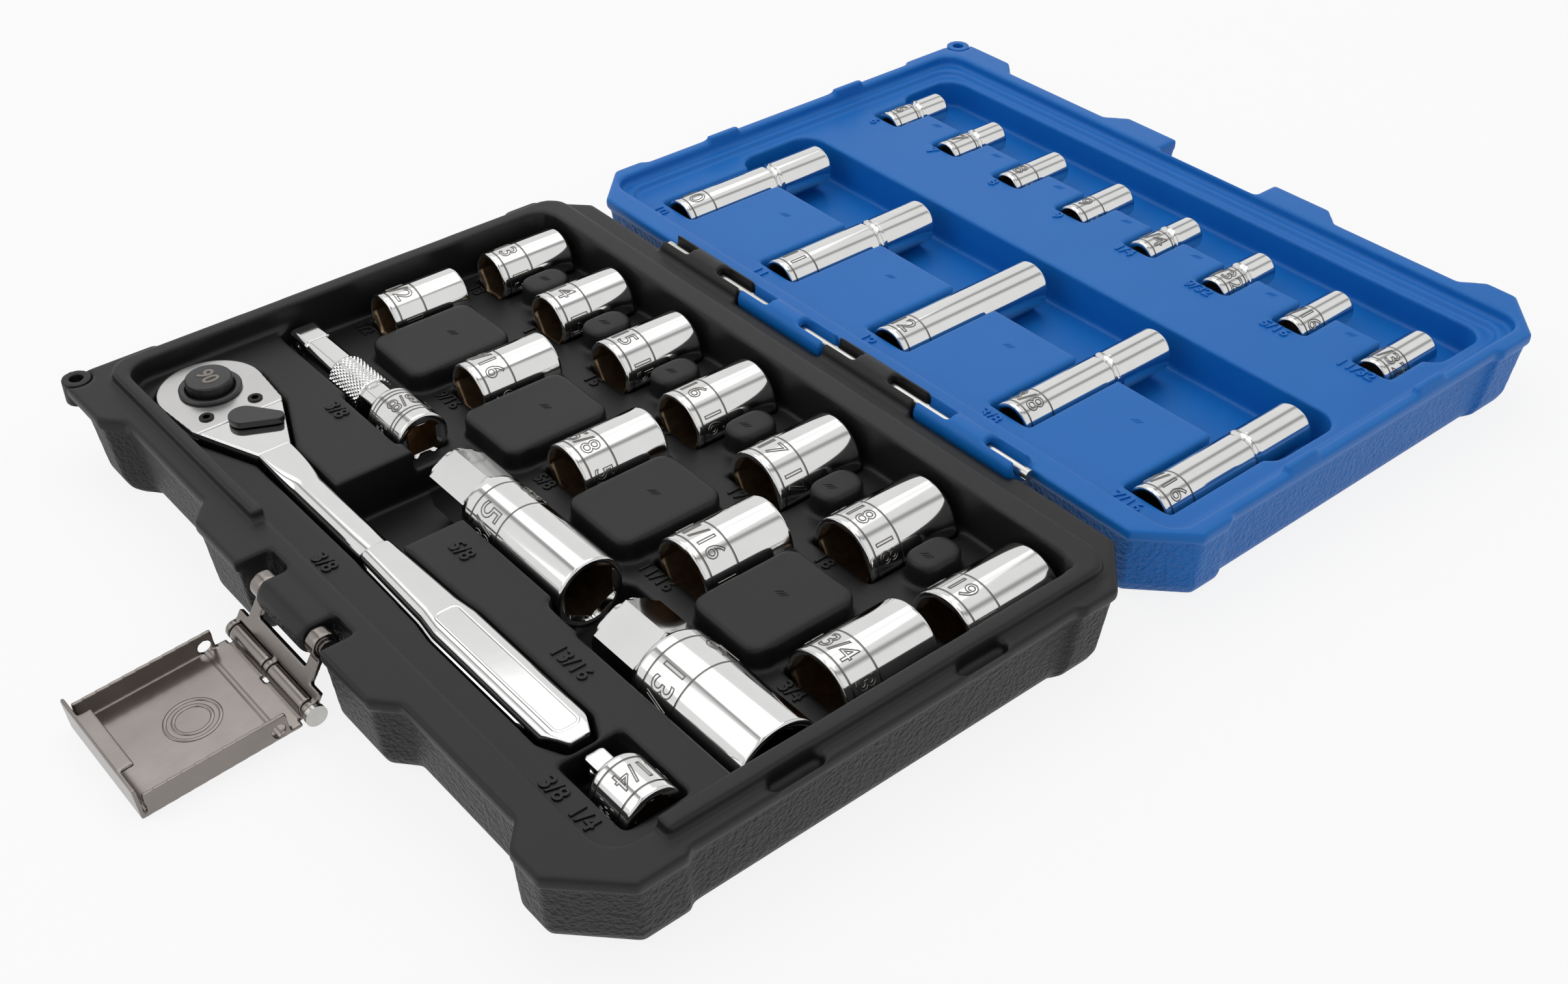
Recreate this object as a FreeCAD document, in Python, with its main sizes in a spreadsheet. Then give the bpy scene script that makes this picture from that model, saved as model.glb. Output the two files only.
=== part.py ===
import FreeCAD, Part
import math
import os
import re
from FreeCAD import Placement, Rotation, Vector

# Socket wrench set in a two-part blow-moulded case, lying open.
# Millimetres, Z up, floor at zero. The origin is the middle of the underside of the base.
# The hinge runs along X. The base lies on the -Y side of it and the lid on the +Y side.
# Inside the case a place is given as x and v, where v is the distance from the hinge axis.

CASE = {
    "case_width": 280,
    "case_depth": 195.5,
    "case_height": 28,
    "hinge_gap": 3,
    "wall": 2.2,
    "flange_thickness": 4,
    "flange_step": 1,
    "wall_draft": 2,
    "bottom_round": 5,
    "bottom_foot_part": 0.85,
    "bottom_knee_part": 0.3,
    "hinge_corner": 15,
    "front_corner": 16.5,
    "side_recess": 1.7,
    "hinge_bumper": 12,
    "front_bumper": 15,
    "front_recess": 6.3,
    "front_foot": 11.5,
    "recess_slope": 7,
    "latch_block_width": 95,
    "lock_tab_radius": 4.6,
    "lock_tab_inset": 2.8,
    "lock_tab_thickness": 8,
    "lock_hole": 4.4,
    "lip_height": 3.5,
    "lip_setback": 6.4,
    "lip_hinge": 12.8,
    "lip_front_setback": 12.5,
    "lip_gap_near": -36,
    "lip_gap_side": 165,
    "lip_clearance": 0.6,
    "tray_setback": 11.8,
    "tray_hinge": 21.5,
    "tray_front_setback": 16.5,
    "tray_corner": 8,
    "floor_drop": 12,
    "floor_end": 128,
    "pad_drop": 4.2,
    "pad_corner": 5,
    "pad_round": 1.6,
    "step_drop": 4.2,
    "ledge_width": 3.5,
    "lid_tray_drop": 6.1,
    "trough_setback": 14,
    "deep_trough_near": 64.3,
    "deep_trough_far": 99.8,
    "small_trough_near": 147,
    "small_trough_far": 176.5,
    "slot_setback": 4.3,
    "slot_length": 16.5,
    "slot_width": 4.6,
    "slot_depth": 3,
    "slot_near": 65.4,
    "slot_far": 128.4,
    "boss_clearance": 0.9,
    "boss_height": 2,
    "rest_gap": 0.35,
    "end_gap": 1.2,
    "bumper_slope": 2,
    "pad_root": 4,
    "lip_root": 1,
    "overcut": 1,
    "corner_part": 0.45,
    "headroom": 60,
}

HINGE = {
    "hinge_rod": 3.6,
    "hinge_start": -83,
    "hinge_end": 86,
    "hinge_rod_proud": 3.2,
    "knuckle_outer": 10,
    "knuckle_gap": 0.7,
    "knuckle_bridge": 15,
    "knuckle_window": 5.2,
    "rod_fit": 0.08,
    "closed_gap": 0.2,
    "knuckle_web": 2,
    "window_floor": 0.3,
}

LATCH = {
    "notch_width": 46,
    "notch_depth": 10.8,
    "latch_setback": 5,
    "latch_drop": 5.8,
    "latch_knuckle_width": 25,
    "latch_knuckle_radius": 5.3,
    "latch_rod": 5,
    "latch_rod_length": 37,
    "link_reach_out": 9,
    "link_reach_down": 14.7,
    "link_sheet": 1.6,
    "link_ear_width": 4.5,
    "link_ear_outer": 8.4,
    "link_lug_width": 2.2,
    "link_foot": 2.6,
    "latch_pin": 3.2,
    "latch_tube": 6,
    "latch_play": 0.4,
    "pin_proud": 0.3,
    "pin_head": 1.4,
    "tube_root": 1,
    "flange_inset": 2,
    "flange_back": 3.2,
    "plate_width": 44,
    "plate_length": 50,
    "plate_sheet": 1.2,
    "plate_flange": 7.5,
    "plate_hole": 4,
    "hook_rise": 10.5,
    "hook_return": 5,
    "ground_gap": 0.4,
    "catch_width": 26,
    "catch_setback": 0.2,
    "groove_near_setback": 5,
    "groove_far_setback": 1.9,
    "catch_groove_depth": 5,
    "catch_thickness": 9,
    "catch_inset": 0.5,
}

RATCHET = {
    "ratchet_axis": 160.5,
    "ratchet_head_x": -107.5,
    "head_radius": 16.5,
    "head_thickness": 11.5,
    "head_drop": 1.8,
    "shoulder_x": -90,
    "shoulder_width": 30,
    "neck_x": -66,
    "neck_width": 10.5,
    "neck_thickness": 8.5,
    "grip_x": -8,
    "grip_step_x": 25,
    "grip_end_x": 91,
    "grip_width": 14.5,
    "grip_thickness": 11,
    "grip_round": 3,
    "grip_taper": 8,
    "grip_end_chamfer": 4,
    "neck_root": 2,
    "neck_round": 2.7,
    "cover_thickness": 2,
    "cover_edge_x": -88,
    "cover_fit": 0.1,
    "bezel_outer": 19.4,
    "bezel_bore": 15.2,
    "bezel_skirt": 17.4,
    "bezel_height": 1.3,
    "button_diameter": 14.5,
    "button_height": 4.6,
    "button_skirt": 0.5,
    "button_travel": 1.5,
    "gear_diameter": 24,
    "gear_teeth": 72,
    "gear_tooth_depth": 0.7,
    "gear_floor": 2.2,
    "gear_clearance": 0.3,
    "gear_root": 1,
    "gear_hub": 16,
    "gear_well": 10,
    "gear_well_depth": 4,
    "anvil_length": 10,
    "release_pin": 3,
    "spring_diameter": 7.4,
    "spring_wire": 0.6,
    "spring_pitch": 1.3,
    "pawl_width": 12,
    "pawl_length": 3.6,
    "pawl_gap": 0.5,
    "pawl_spring": 2,
    "pawl_spring_length": 1.4,
    "pawl_play": 0.4,
    "pawl_spring_fit": 0.05,
    "lever_pivot_x": -85,
    "lever_shaft": 5,
    "lever_shaft_depth": 6,
    "lever_hub": 9.4,
    "lever_reach": 10,
    "lever_tip": 4.6,
    "lever_thickness": 2.2,
    "lever_angle": 50,
    "lever_lift": 0.3,
    "lever_fit": 0.15,
    "screw_x": -93.9,
    "screw_spread": 16.3,
    "screw_head": 4.6,
    "screw_head_height": 1,
    "screw_shank": 2.4,
    "screw_length": 6,
}

DRIVE = {
    "drive_square": 9.53,
    "drive_fit": 0.2,
    "drive_depth": 11,
    "quarter_square": 6.35,
    "quarter_depth": 8.5,
    "ball_diameter": 4,
    "quarter_ball_diameter": 2.8,
    "ball_proud": 0.7,
    "ball_fit": 0.05,
    "ball_part": 0.45,
    "socket_chamfer": 0.8,
    "socket_groove": 2.2,
    "socket_groove_depth": 1.1,
    "deep_hex_part": 0.63,
    "small_hex_part": 0.52,
    "extension_rise": 0.8,
    "extension_length": 75,
    "extension_x": -124.5,
    "extension_v": 120,
    "extension_male": 12,
    "extension_shaft": 10.6,
    "extension_knurl": 13.4,
    "extension_knurl_start": 18,
    "extension_knurl_length": 17,
    "extension_taper": 4,
    "extension_female": 17.5,
    "extension_female_length": 27,
    "adapter_length": 25.6,
    "adapter_x": 94.5,
    "adapter_v": 159.5,
    "adapter_outer": 17.5,
}

SPARK = {
    "spark_5_8in_flats": 15.88,
    "spark_5_8in_outer": 22,
    "spark_5_8in_length": 70,
    "spark_5_8in_end_flats": 18.5,
    "spark_5_8in_x": -29,
    "spark_5_8in_v": 122,
    "spark_13_16in_flats": 20.64,
    "spark_13_16in_outer": 27.5,
    "spark_13_16in_length": 66,
    "spark_13_16in_end_flats": 22,
    "spark_13_16in_x": 57.5,
    "spark_13_16in_v": 123,
    "spark_rise": 2,
    "spark_end_length": 20,
    "spark_hex_depth": 20,
    "spark_insert_length": 12,
    "spark_insert_bore": 10,
    "spark_insert_fit": 0.1,
    "spark_insert_play": 0.2,
    "spark_passage": 8.58,
    "spark_step": 2,
}

ROWS = {
    "base_rise": 1,
    "deep_rise": 3,
    "small_rise": 2.4,
    "metric_v": 24,
    "metric_x": -116.2,
    "metric_gap": 16.2,
    "inch_v": 66,
    "inch_x": -116.4,
    "inch_gap": 34.6,
    "deep_v": 25,
    "deep_x": -110.4,
    "deep_pitch": 56,
    "small_v": 131.5,
    "small_x": -115,
    "small_pitch": 32.7,
    "inch_pad_gap": 2.8,
    "inch_pad_near": 69.5,
    "inch_pad_far": 107,
    "metric_pad_gap": 2.4,
    "metric_pad_near": 33,
    "metric_pad_far": 49.5,
    "finger_well_left": -42,
    "finger_well_right": -5,
    "finger_well_near": 116,
    "finger_well_far": 157,
    "well_corner": 4,
    "finger_well_drop": 21,
    "tool_side_gap": 1,
}

# Hex size across flats, outside diameter and length of every plain socket
SOCKETS = {
    "metric": {
        "13mm": (13, 18, 28.5),
        "14mm": (14, 19.4, 29),
        "15mm": (15, 20.8, 30),
        "16mm": (16, 21.8, 31),
        "17mm": (17, 23.8, 32),
        "18mm": (18, 25, 33),
        "19mm": (19, 26, 33.5),
    },
    "inch": {
        "1_2in": (12.7, 17.8, 28.5),
        "9_16in": (14.29, 19.8, 29.5),
        "5_8in": (15.88, 21.8, 30.5),
        "11_16in": (17.46, 24, 31.5),
        "3_4in": (19.05, 26, 32.5),
    },
    "deep": {
        "10mm": (10, 15, 67),
        "11mm": (11, 16, 67),
        "12mm": (12, 17, 67),
        "3_8in": (9.53, 15, 67),
        "7_16in": (11.11, 16.2, 67),
    },
    "small": {
        "6mm": (6, 11.8, 27.5),
        "7mm": (7, 11.8, 27.5),
        "8mm": (8, 12, 27.5),
        "9mm": (9, 13, 27.5),
        "1_4in": (6.35, 11.8, 27.5),
        "9_32in": (7.14, 11.8, 27.5),
        "5_16in": (7.94, 12, 27.5),
        "11_32in": (8.73, 12.8, 27.5),
    },
}
GROOVED = ["deep_10mm", "deep_11mm", "deep_3_8in", "deep_7_16in",
           "small_6mm", "small_7mm", "small_1_4in", "small_9_32in"]
NODE_PREFIX = {"metric": "socket", "inch": "socket", "deep": "deep_socket", "small": "small_socket"}
SPARK_SIZES = ["5_8in", "13_16in"]

# Document and sheet of driving sizes
doc = FreeCAD.newDocument("socket_set")
sheet = doc.addObject("Spreadsheet::Sheet", "Sizes")
SIZES = {}
for group in (CASE, HINGE, LATCH, RATCHET, DRIVE, SPARK, ROWS):
    SIZES.update(group)
for row, sockets in SOCKETS.items():
    for name, (flats, outer, length) in sockets.items():
        SIZES[f"{row}_{name}_flats"] = flats
        SIZES[f"{row}_{name}_outer"] = outer
        SIZES[f"{row}_{name}_length"] = length
for line, (alias, value) in enumerate(SIZES.items(), start=1):
    sheet.set(f"A{line}", alias)
    sheet.set(f"B{line}", str(value))
    sheet.setAlias(f"B{line}", alias)
doc.recompute()


def size(alias):
    return float(sheet.get(alias))


# Document helpers
PARTS = []
ALONG_X = Rotation(Vector(0, 1, 0), 90)
ALONG_Y = Rotation(Vector(1, 0, 0), -90)
UPRIGHT = Rotation()


def bind(thing, formulas):
    """Bind properties to formulas written with the aliases of the sheet."""
    for path, formula in formulas.items():
        text = re.sub(r"[a-z]\w*", lambda word: "Sizes." + word[0] if word[0] in SIZES else word[0], formula)
        thing.setExpression(path, text)


def primitive(kind, name, formulas, x=None, y=None, z=None, turn=UPRIGHT):
    """Add a primitive with its sizes and its place bound to the sheet."""
    thing = doc.addObject(kind, name)
    thing.Placement = Placement(Vector(), turn)
    bind(thing, formulas)
    for axis, formula in (("x", x), ("y", y), ("z", z)):
        if formula is not None:
            bind(thing, {"Placement.Base." + axis: formula})
    return thing


def cylinder(name, radius, height, **place):
    return primitive("Part::Cylinder", name, {"Radius": radius, "Height": height}, **place)


def hexagon(name, flats, height, **place):
    sizes = {"Circumradius": f"({flats}) / sqrt(3)", "Height": height}
    thing = primitive("Part::Prism", name, sizes, **place)
    thing.Polygon = 6
    return thing


def square(name, side, height, z):
    """A square bar around the Z axis."""
    sizes = {"Length": side, "Width": side, "Height": height}
    return primitive("Part::Box", name, sizes, x=f"-({side}) / 2", y=f"-({side}) / 2", z=z)


def slab(name, length, width, height, x, y, z):
    sizes = {"Length": length, "Width": width, "Height": height}
    return primitive("Part::Box", name, sizes, x=x, y=y, z=z)


def coded(name, shape):
    thing = doc.addObject("Part::Feature", name)
    thing.Shape = shape
    return thing


def fused(name, things):
    thing = doc.addObject("Part::MultiFuse", name)
    thing.Shapes = things
    return thing


def cut(name, base, tools):
    thing = doc.addObject("Part::Cut", name)
    thing.Base = base
    thing.Tool = tools[0] if len(tools) == 1 else fused(name + "_tools", tools)
    return thing


def keep(node, thing, place=None):
    """Give a sub-part its name and its place in the set."""
    thing.Label = node
    if place is not None:
        thing.Placement = place
    PARTS.append(thing)


# Shape helpers for the moulded shells
HEIGHT = size("case_height")
AXIS_Y = (size("case_depth") + size("hinge_gap")) / 2
AXIS_Z = HEIGHT + size("closed_gap") / 2
BASE = -1
LID = 1
SKY = HEIGHT + size("headroom")


def across(side, v):
    """The y of a place at distance v from the hinge axis."""
    return AXIS_Y + side * v


def from_front(setback):
    """The distance from the hinge axis of a place set back from the front edge."""
    return size("case_depth") - size(setback)


def block(side, x_low, x_high, v_near, v_far, z_low, z_high):
    corner = Vector(x_low, min(across(side, v_near), across(side, v_far)), z_low)
    return Part.makeBox(x_high - x_low, v_far - v_near, z_high - z_low, corner)


def is_upright(edge):
    return abs(edge.tangentAt(edge.FirstParameter).z) > 0.9


def soft_block(side, x_low, x_high, v_near, v_far, z_low, z_high, corner):
    """A block with its upright edges rounded."""
    solid = block(side, x_low, x_high, v_near, v_far, z_low, z_high)
    radius = min(corner, size("corner_part") * min(x_high - x_low, v_far - v_near))
    return solid.makeFillet(radius, [edge for edge in solid.Edges if is_upright(edge)])


def ring_wire(side, points, z):
    corners = [Vector(x, across(side, v), z) for x, v in points]
    return Part.makePolygon(corners + corners[:1])


def prism(side, points, z_low, z_high):
    face = Part.Face(ring_wire(side, points, z_low))
    return face.extrude(Vector(0, 0, z_high - z_low))


def rod_along_x(radius, x_low, x_high, y, z):
    return Part.makeCylinder(radius, x_high - x_low, Vector(x_low, y, z), Vector(1, 0, 0))


def united(solids):
    return solids[0].multiFuse(solids[1:]) if len(solids) > 1 else solids[0]


# Places of the tools
def socket_rows():
    """Every plain socket with its place: key, side of the case, x, v of the hinge-side end, axis height."""
    found = []
    for row, sockets in SOCKETS.items():
        x = size(row + "_x")
        last_radius = None
        for name in sockets:
            key = f"{row}_{name}"
            radius = size(key + "_outer") / 2
            if row in ("metric", "inch"):
                if last_radius is not None:
                    x += last_radius + size(row + "_gap") + radius
                side, top = BASE, HEIGHT + size("base_rise")
            else:
                if last_radius is not None:
                    x += size(row + "_pitch")
                side, top = LID, HEIGHT - size("lid_tray_drop") + size(row + "_rise")
            last_radius = radius
            found.append({
                "key": key, "row": row, "node": f"{NODE_PREFIX[row]}_{name}", "side": side, "x": x,
                "v": size(row + "_v"), "z": top - radius, "radius": radius, "length": size(key + "_length"),
            })
    return found


def lying_tools():
    """The tools that lie along X in the base: x of the left end, v, axis height and stepped radii."""
    top = HEIGHT + size("base_rise")
    extension = size("extension_female") / 2
    shaft = max(size("extension_knurl") / 2, size("drive_square") * math.sqrt(0.5))
    length = size("extension_length")
    socket_start = length - size("extension_female_length") - size("extension_taper")
    tools = {"extension": {
        "x": size("extension_x"), "v": size("extension_v"), "z": HEIGHT + size("extension_rise") - extension,
        "steps": [(0, socket_start, shaft), (socket_start, length, extension)],
    }}
    outer = size("adapter_outer") / 2
    tools["adapter"] = {
        "x": size("adapter_x"), "v": size("adapter_v"), "z": top - outer,
        "steps": [(0, size("adapter_length"), outer)],
    }
    for name in SPARK_SIZES:
        key = "spark_" + name
        radius = size(key + "_outer") / 2
        tools[key] = {
            "x": size(key + "_x"), "v": size(key + "_v"), "z": HEIGHT + size("spark_rise") - radius,
            "steps": [(0, size(key + "_length"), radius)],
        }
    return tools


SOCKET_PLACES = socket_rows()
LYING = lying_tools()
HEAD_TOP = HEIGHT - size("head_drop")
RATCHET_THICKNESS = {stretch: size(stretch + "_thickness") for stretch in ("head", "neck", "grip")}


def ratchet_plan(grow, rest):
    """The ratchet seen from above as upright solids, widened for its pocket by grow and by a rest
    above and below."""
    head_x, axis = size("ratchet_head_x"), size("ratchet_axis")
    neck, grip = size("neck_width") / 2 + grow, size("grip_width") / 2 + grow
    shoulder = size("shoulder_width") / 2 + grow
    head = size("head_radius") + grow
    middle = HEAD_TOP - size("head_thickness") / 2

    def level(stretch):
        half = RATCHET_THICKNESS[stretch] / 2 + rest
        return middle - half, middle + half

    low, high = level("head")
    disc = Part.makeCylinder(head, high - low, Vector(head_x, across(BASE, axis), low))
    neck_start = size("neck_x")
    shoulder_x = size("shoulder_x")
    wedge = [(head_x, -head), (shoulder_x, -shoulder), (neck_start, -neck),
             (neck_start, neck), (shoulder_x, shoulder), (head_x, head)]
    solids = [disc, prism(BASE, [(x, axis + offset) for x, offset in wedge], low, high)]
    grip_x, grip_end = size("grip_x"), size("grip_end_x") + grow
    low, high = level("neck")
    root = size("neck_root")
    solids.append(block(BASE, neck_start - root, grip_x + root, axis - neck, axis + neck, low, high))
    low, high = level("grip")
    slim = 0.5 * (neck + grip)
    step, run, end = size("grip_step_x"), size("grip_taper"), grip - size("grip_end_chamfer")
    upper = [(grip_x, neck), (step, slim), (step + run, grip), (grip_end - run, grip), (grip_end, end)]
    taper = upper + [(x, -offset) for x, offset in reversed(upper)]
    solids.append(prism(BASE, [(x, axis + offset) for x, offset in taper], low, high))
    return solids


# The two shells of the case
def case_outline(with_ear):
    """The case seen from above as x and v, from the hinge corner round to the front and back.
    The rim reaches out to the lock ear at the front left, where the body below has a plain corner."""
    half, depth, gap = size("case_width") / 2, size("case_depth"), size("hinge_gap")
    inner = half - size("side_recess")
    corner = size("hinge_corner")
    bumper = gap + corner + size("hinge_bumper")
    front = depth - size("front_corner")
    front_start = front - size("front_bumper")
    recess = depth - size("front_recess")
    slope, ease = size("recess_slope"), size("bumper_slope")
    foot = half - size("front_corner")
    latch_half = size("latch_block_width") / 2
    right = [
        (half - corner, gap), (half, gap + corner), (half, bumper), (inner, bumper + ease),
        (inner, front_start - ease), (half, front_start), (half, front), (foot, depth),
        (foot - size("front_foot"), depth), (foot - size("front_foot") - slope, recess),
        (latch_half + slope, recess), (latch_half, depth),
    ]
    left = [(-x, v) for x, v in reversed(right)]
    if with_ear:
        tip = size("lock_tab_inset") + size("lock_tab_radius") / 2
        left[4:6] = [(-half + tip, depth), (-half, depth - tip)]
    return right + left


RIM_OUTLINE = case_outline(True)
BODY_OUTLINE = case_outline(False)


def shrunk(inset):
    """The outline of the body drawn in towards its middle."""
    half = size("case_width") / 2
    middle = (size("case_depth") + size("hinge_gap")) / 2
    reach = (size("case_depth") - size("hinge_gap")) / 2
    return [(x * (1 - inset / half), middle + (v - middle) * (1 - inset / reach)) for x, v in BODY_OUTLINE]


def drafted(side, skin, z_high):
    """The drafted body of a shell with its rounded bottom edge, drawn in by a skin."""
    edge, draft = size("flange_step") + skin, size("wall_draft")
    bottom = size("bottom_round")
    foot, knee = size("bottom_foot_part") * bottom, size("bottom_knee_part") * bottom
    levels = [(skin, edge + draft + foot), (skin + knee, edge + draft + knee),
              (skin + bottom, edge + draft), (z_high, edge)]
    return Part.makeLoft([ring_wire(side, shrunk(inset), z) for z, inset in levels], True, True)


def lock_place(side):
    """The foot of the lock ear's axis."""
    x = -size("case_width") / 2 + size("lock_tab_inset")
    y = across(side, size("case_depth") - size("lock_tab_radius"))
    return Vector(x, y, HEIGHT - size("lock_tab_thickness"))


def body_of(side):
    flange_start = HEIGHT - size("flange_thickness")
    body = drafted(side, 0, flange_start).fuse(prism(side, RIM_OUTLINE, flange_start, HEIGHT))
    return body.cut(Part.makeCylinder(size("lock_tab_radius"), size("lock_tab_thickness"), lock_place(side)))


def void_of(side):
    """The sealed air space between the two skins of a shell."""
    wall = size("wall")
    high = HEIGHT - size("slot_depth") - wall
    notch = size("notch_width") / 2 + wall
    space = drafted(side, wall, high)
    edges = [block(side, -notch, notch, from_front("notch_depth") - wall, 2 * size("case_depth"), 0, HEIGHT),
             block(side, -size("case_width"), size("case_width"), 0, size("lip_hinge") - wall, 0, HEIGHT)]
    return space.cut(united(edges))


def pocket(side, x_low, x_high, v_near, v_far, z_axis, radius, along_x, grow):
    """A half-round trough open to the sky for a tool that lies in it."""
    wide = radius + size("tool_side_gap") + grow
    deep = radius + size("rest_gap") + grow
    x_mid, v_mid = (x_low + x_high) / 2, (v_near + v_far) / 2
    if along_x:
        trough = rod_along_x(deep, x_low - grow, x_high + grow, across(side, v_mid), z_axis)
        slot = block(side, x_low - grow, x_high + grow, v_mid - wide, v_mid + wide, z_axis, SKY)
    else:
        start = Vector(x_mid, min(across(side, v_near - grow), across(side, v_far + grow)), z_axis)
        trough = Part.makeCylinder(deep, v_far - v_near + 2 * grow, start, Vector(0, 1, 0))
        slot = block(side, x_mid - wide, x_mid + wide, v_near - grow, v_far + grow, z_axis, SKY)
    return [trough, slot]


def socket_pockets(side, grow):
    solids = []
    gap = size("end_gap")
    for place in SOCKET_PLACES:
        if place["side"] == side:
            radius = place["radius"]
            solids += pocket(side, place["x"] - radius, place["x"] + radius, place["v"] - gap,
                             place["v"] + place["length"] + gap, place["z"], radius, False, grow)
    return solids


def pad(x_low, x_high, v_near, v_far, grow):
    """One of the raised pads between the sockets of the base."""
    top = HEIGHT - size("pad_drop") - grow
    foot = HEIGHT - size("floor_drop") - size("pad_root") - grow
    solid = soft_block(BASE, x_low + grow, x_high - grow, v_near + grow, v_far - grow, foot, top,
                       size("pad_corner"))
    if grow:
        return solid
    rim = [edge for edge in solid.Edges if edge.BoundBox.ZMin > top - 0.01]
    return solid.makeFillet(size("pad_round"), rim)


def base_pads(grow):
    solids = []
    for row in ("metric", "inch"):
        places = [place for place in SOCKET_PLACES if place["row"] == row]
        gap = size(row + "_pad_gap")
        for left, right in zip(places, places[1:]):
            solids.append(pad(left["x"] + left["radius"] + gap, right["x"] - right["radius"] - gap,
                              size(row + "_pad_near"), size(row + "_pad_far"), grow))
    return solids


def base_hollows(grow):
    """Everything open to the sky in the tray of the base, enlarged by grow."""
    half = size("case_width") / 2 - size("tray_setback") + grow
    near, middle = size("tray_hinge") - grow, size("floor_end") + grow
    far = from_front("tray_front_setback") + grow
    corner = size("tray_corner")
    floor = HEIGHT - size("floor_drop") - grow
    plateau = HEIGHT - size("pad_drop") - grow
    well = HEIGHT - size("finger_well_drop") - grow
    rows = soft_block(BASE, -half, half, near, middle, floor, SKY, corner).cut(united(base_pads(grow)))
    shelf = soft_block(BASE, -half, half, near, far, plateau, SKY, corner)
    gap = size("end_gap")
    solids = [shelf]
    solids += socket_pockets(BASE, grow)
    for tool in LYING.values():
        for start, end, radius in tool["steps"]:
            solids += pocket(BASE, tool["x"] + start - gap, tool["x"] + end + gap, tool["v"] - radius,
                             tool["v"] + radius, tool["z"], radius, True, grow)
    small, large = LYING["spark_5_8in"], LYING["spark_13_16in"]
    between = (small["x"] + size("spark_5_8in_length"), large["x"])
    reach = size("spark_13_16in_outer") / 2
    solids.append(soft_block(BASE, size("finger_well_left") - grow, size("finger_well_right") + grow,
                             size("finger_well_near") - grow, size("finger_well_far") + grow, well, SKY,
                             size("well_corner")))
    solids.append(soft_block(BASE, between[0] - gap - grow, between[1] + gap + grow,
                             large["v"] - reach - grow, large["v"] + reach + grow, well, SKY,
                             size("well_corner")))
    rest = size("rest_gap") + grow
    for solid in ratchet_plan(size("end_gap") + grow, rest):
        box = solid.BoundBox
        raised = solid.copy()
        raised.translate(Vector(0, 0, box.ZLength / 2))
        solids += [solid, raised]
    axis = across(BASE, size("ratchet_axis"))
    anvil_low = HEAD_TOP - size("head_thickness") - size("anvil_length") - 2 * rest
    anvil = size("drive_square") * math.sqrt(0.5) + size("tool_side_gap") + grow
    anvil_foot = Vector(size("ratchet_head_x"), axis, anvil_low)
    solids.append(Part.makeCylinder(anvil, HEIGHT - anvil_low, anvil_foot))
    return united([rows] + solids)


def lid_hollows(grow):
    """Everything open to the sky in the tray of the lid, enlarged by grow."""
    clearance = size("lip_clearance")
    half = size("case_width") / 2 - size("lip_setback") + clearance
    near, far = size("lip_hinge") - clearance, from_front("lip_front_setback") + clearance
    ledge = size("ledge_width")
    corner = size("tray_corner")
    tray = HEIGHT - size("lid_tray_drop") - grow
    trough = size("case_width") / 2 - size("trough_setback") + grow
    solids = [
        soft_block(LID, -half - grow, half + grow, near - grow, far + grow, HEIGHT - size("step_drop") - grow,
                   SKY, corner),
        soft_block(LID, -half + ledge - grow, half - ledge + grow, near + ledge - grow, far - ledge + grow,
                   tray, SKY, corner),
    ]
    for row in ("deep", "small"):
        lowest = min(place["z"] - place["radius"] for place in SOCKET_PLACES if place["row"] == row)
        lowest -= size("rest_gap") + grow
        solids.append(soft_block(LID, -trough, trough, size(row + "_trough_near") - grow,
                                 size(row + "_trough_far") + grow, lowest, SKY, corner))
    return united(solids + socket_pockets(LID, grow))


def hinge_spans():
    """The four knuckles along the hinge rod: side of the case and x limits."""
    start, end = size("hinge_start"), size("hinge_end")
    step = (end - start) / 4
    gap = size("knuckle_gap") / 2
    return [(side, start + step * index + gap, start + step * (index + 1) - gap)
            for index, side in enumerate((BASE, LID, BASE, LID))]


def with_knuckles(shell, side):
    """Add this side's knuckles around the hinge rod and clear room for those of the other side."""
    radius = size("knuckle_outer") / 2
    bore = size("hinge_rod") / 2 + size("rod_fit")
    window = size("knuckle_window") / 2
    bridge = size("knuckle_bridge") / 2
    room = radius + size("knuckle_gap")
    for owner, x_low, x_high in hinge_spans():
        if owner != side:
            gap = size("knuckle_gap")
            shell = shell.cut(rod_along_x(room, x_low - gap, x_high + gap, AXIS_Y, AXIS_Z))
    for owner, x_low, x_high in hinge_spans():
        if owner == side:
            reach = size("hinge_gap") + size("knuckle_web")
            web = block(side, x_low, x_high, 0, reach, HEIGHT - radius, HEIGHT)
            middle = (x_low + x_high) / 2
            floor, past = AXIS_Z - size("window_floor"), size("overcut")
            windows = [block(LID, x_low - past, middle - bridge, -window, window, floor, SKY),
                       block(LID, middle + bridge, x_high + past, -window, window, floor, SKY)]
            shell = shell.fuse(united([rod_along_x(radius, x_low, x_high, AXIS_Y, AXIS_Z), web]))
            shell = shell.cut(united(windows))
    return shell.cut(rod_along_x(bore, -size("case_width"), size("case_width"), AXIS_Y, AXIS_Z))


def rim_slots(side, shrink, z_low, z_high):
    """The four long slots in the rim, or the bosses that fill them when shrunk."""
    x_mid = size("case_width") / 2 - size("slot_setback")
    long, wide = size("slot_length") / 2 - shrink, size("slot_width") / 2 - shrink
    return [soft_block(side, x - wide, x + wide, v - long, v + long, z_low, z_high, wide)
            for x in (-x_mid, x_mid) for v in (size("slot_near"), size("slot_far"))]


def base_lip():
    """The raised lip round the tray of the base, open at the front right."""
    half = size("case_width") / 2 - size("lip_setback")
    low, high = HEIGHT - size("lip_root"), HEIGHT + size("lip_height")
    rim = soft_block(BASE, -half, half, size("lip_hinge"), from_front("lip_front_setback"), low, high,
                     size("tray_corner"))
    return rim.cut(block(BASE, size("lip_gap_near"), size("case_width"), size("lip_gap_side"),
                         size("case_depth"), low, SKY))


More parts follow.
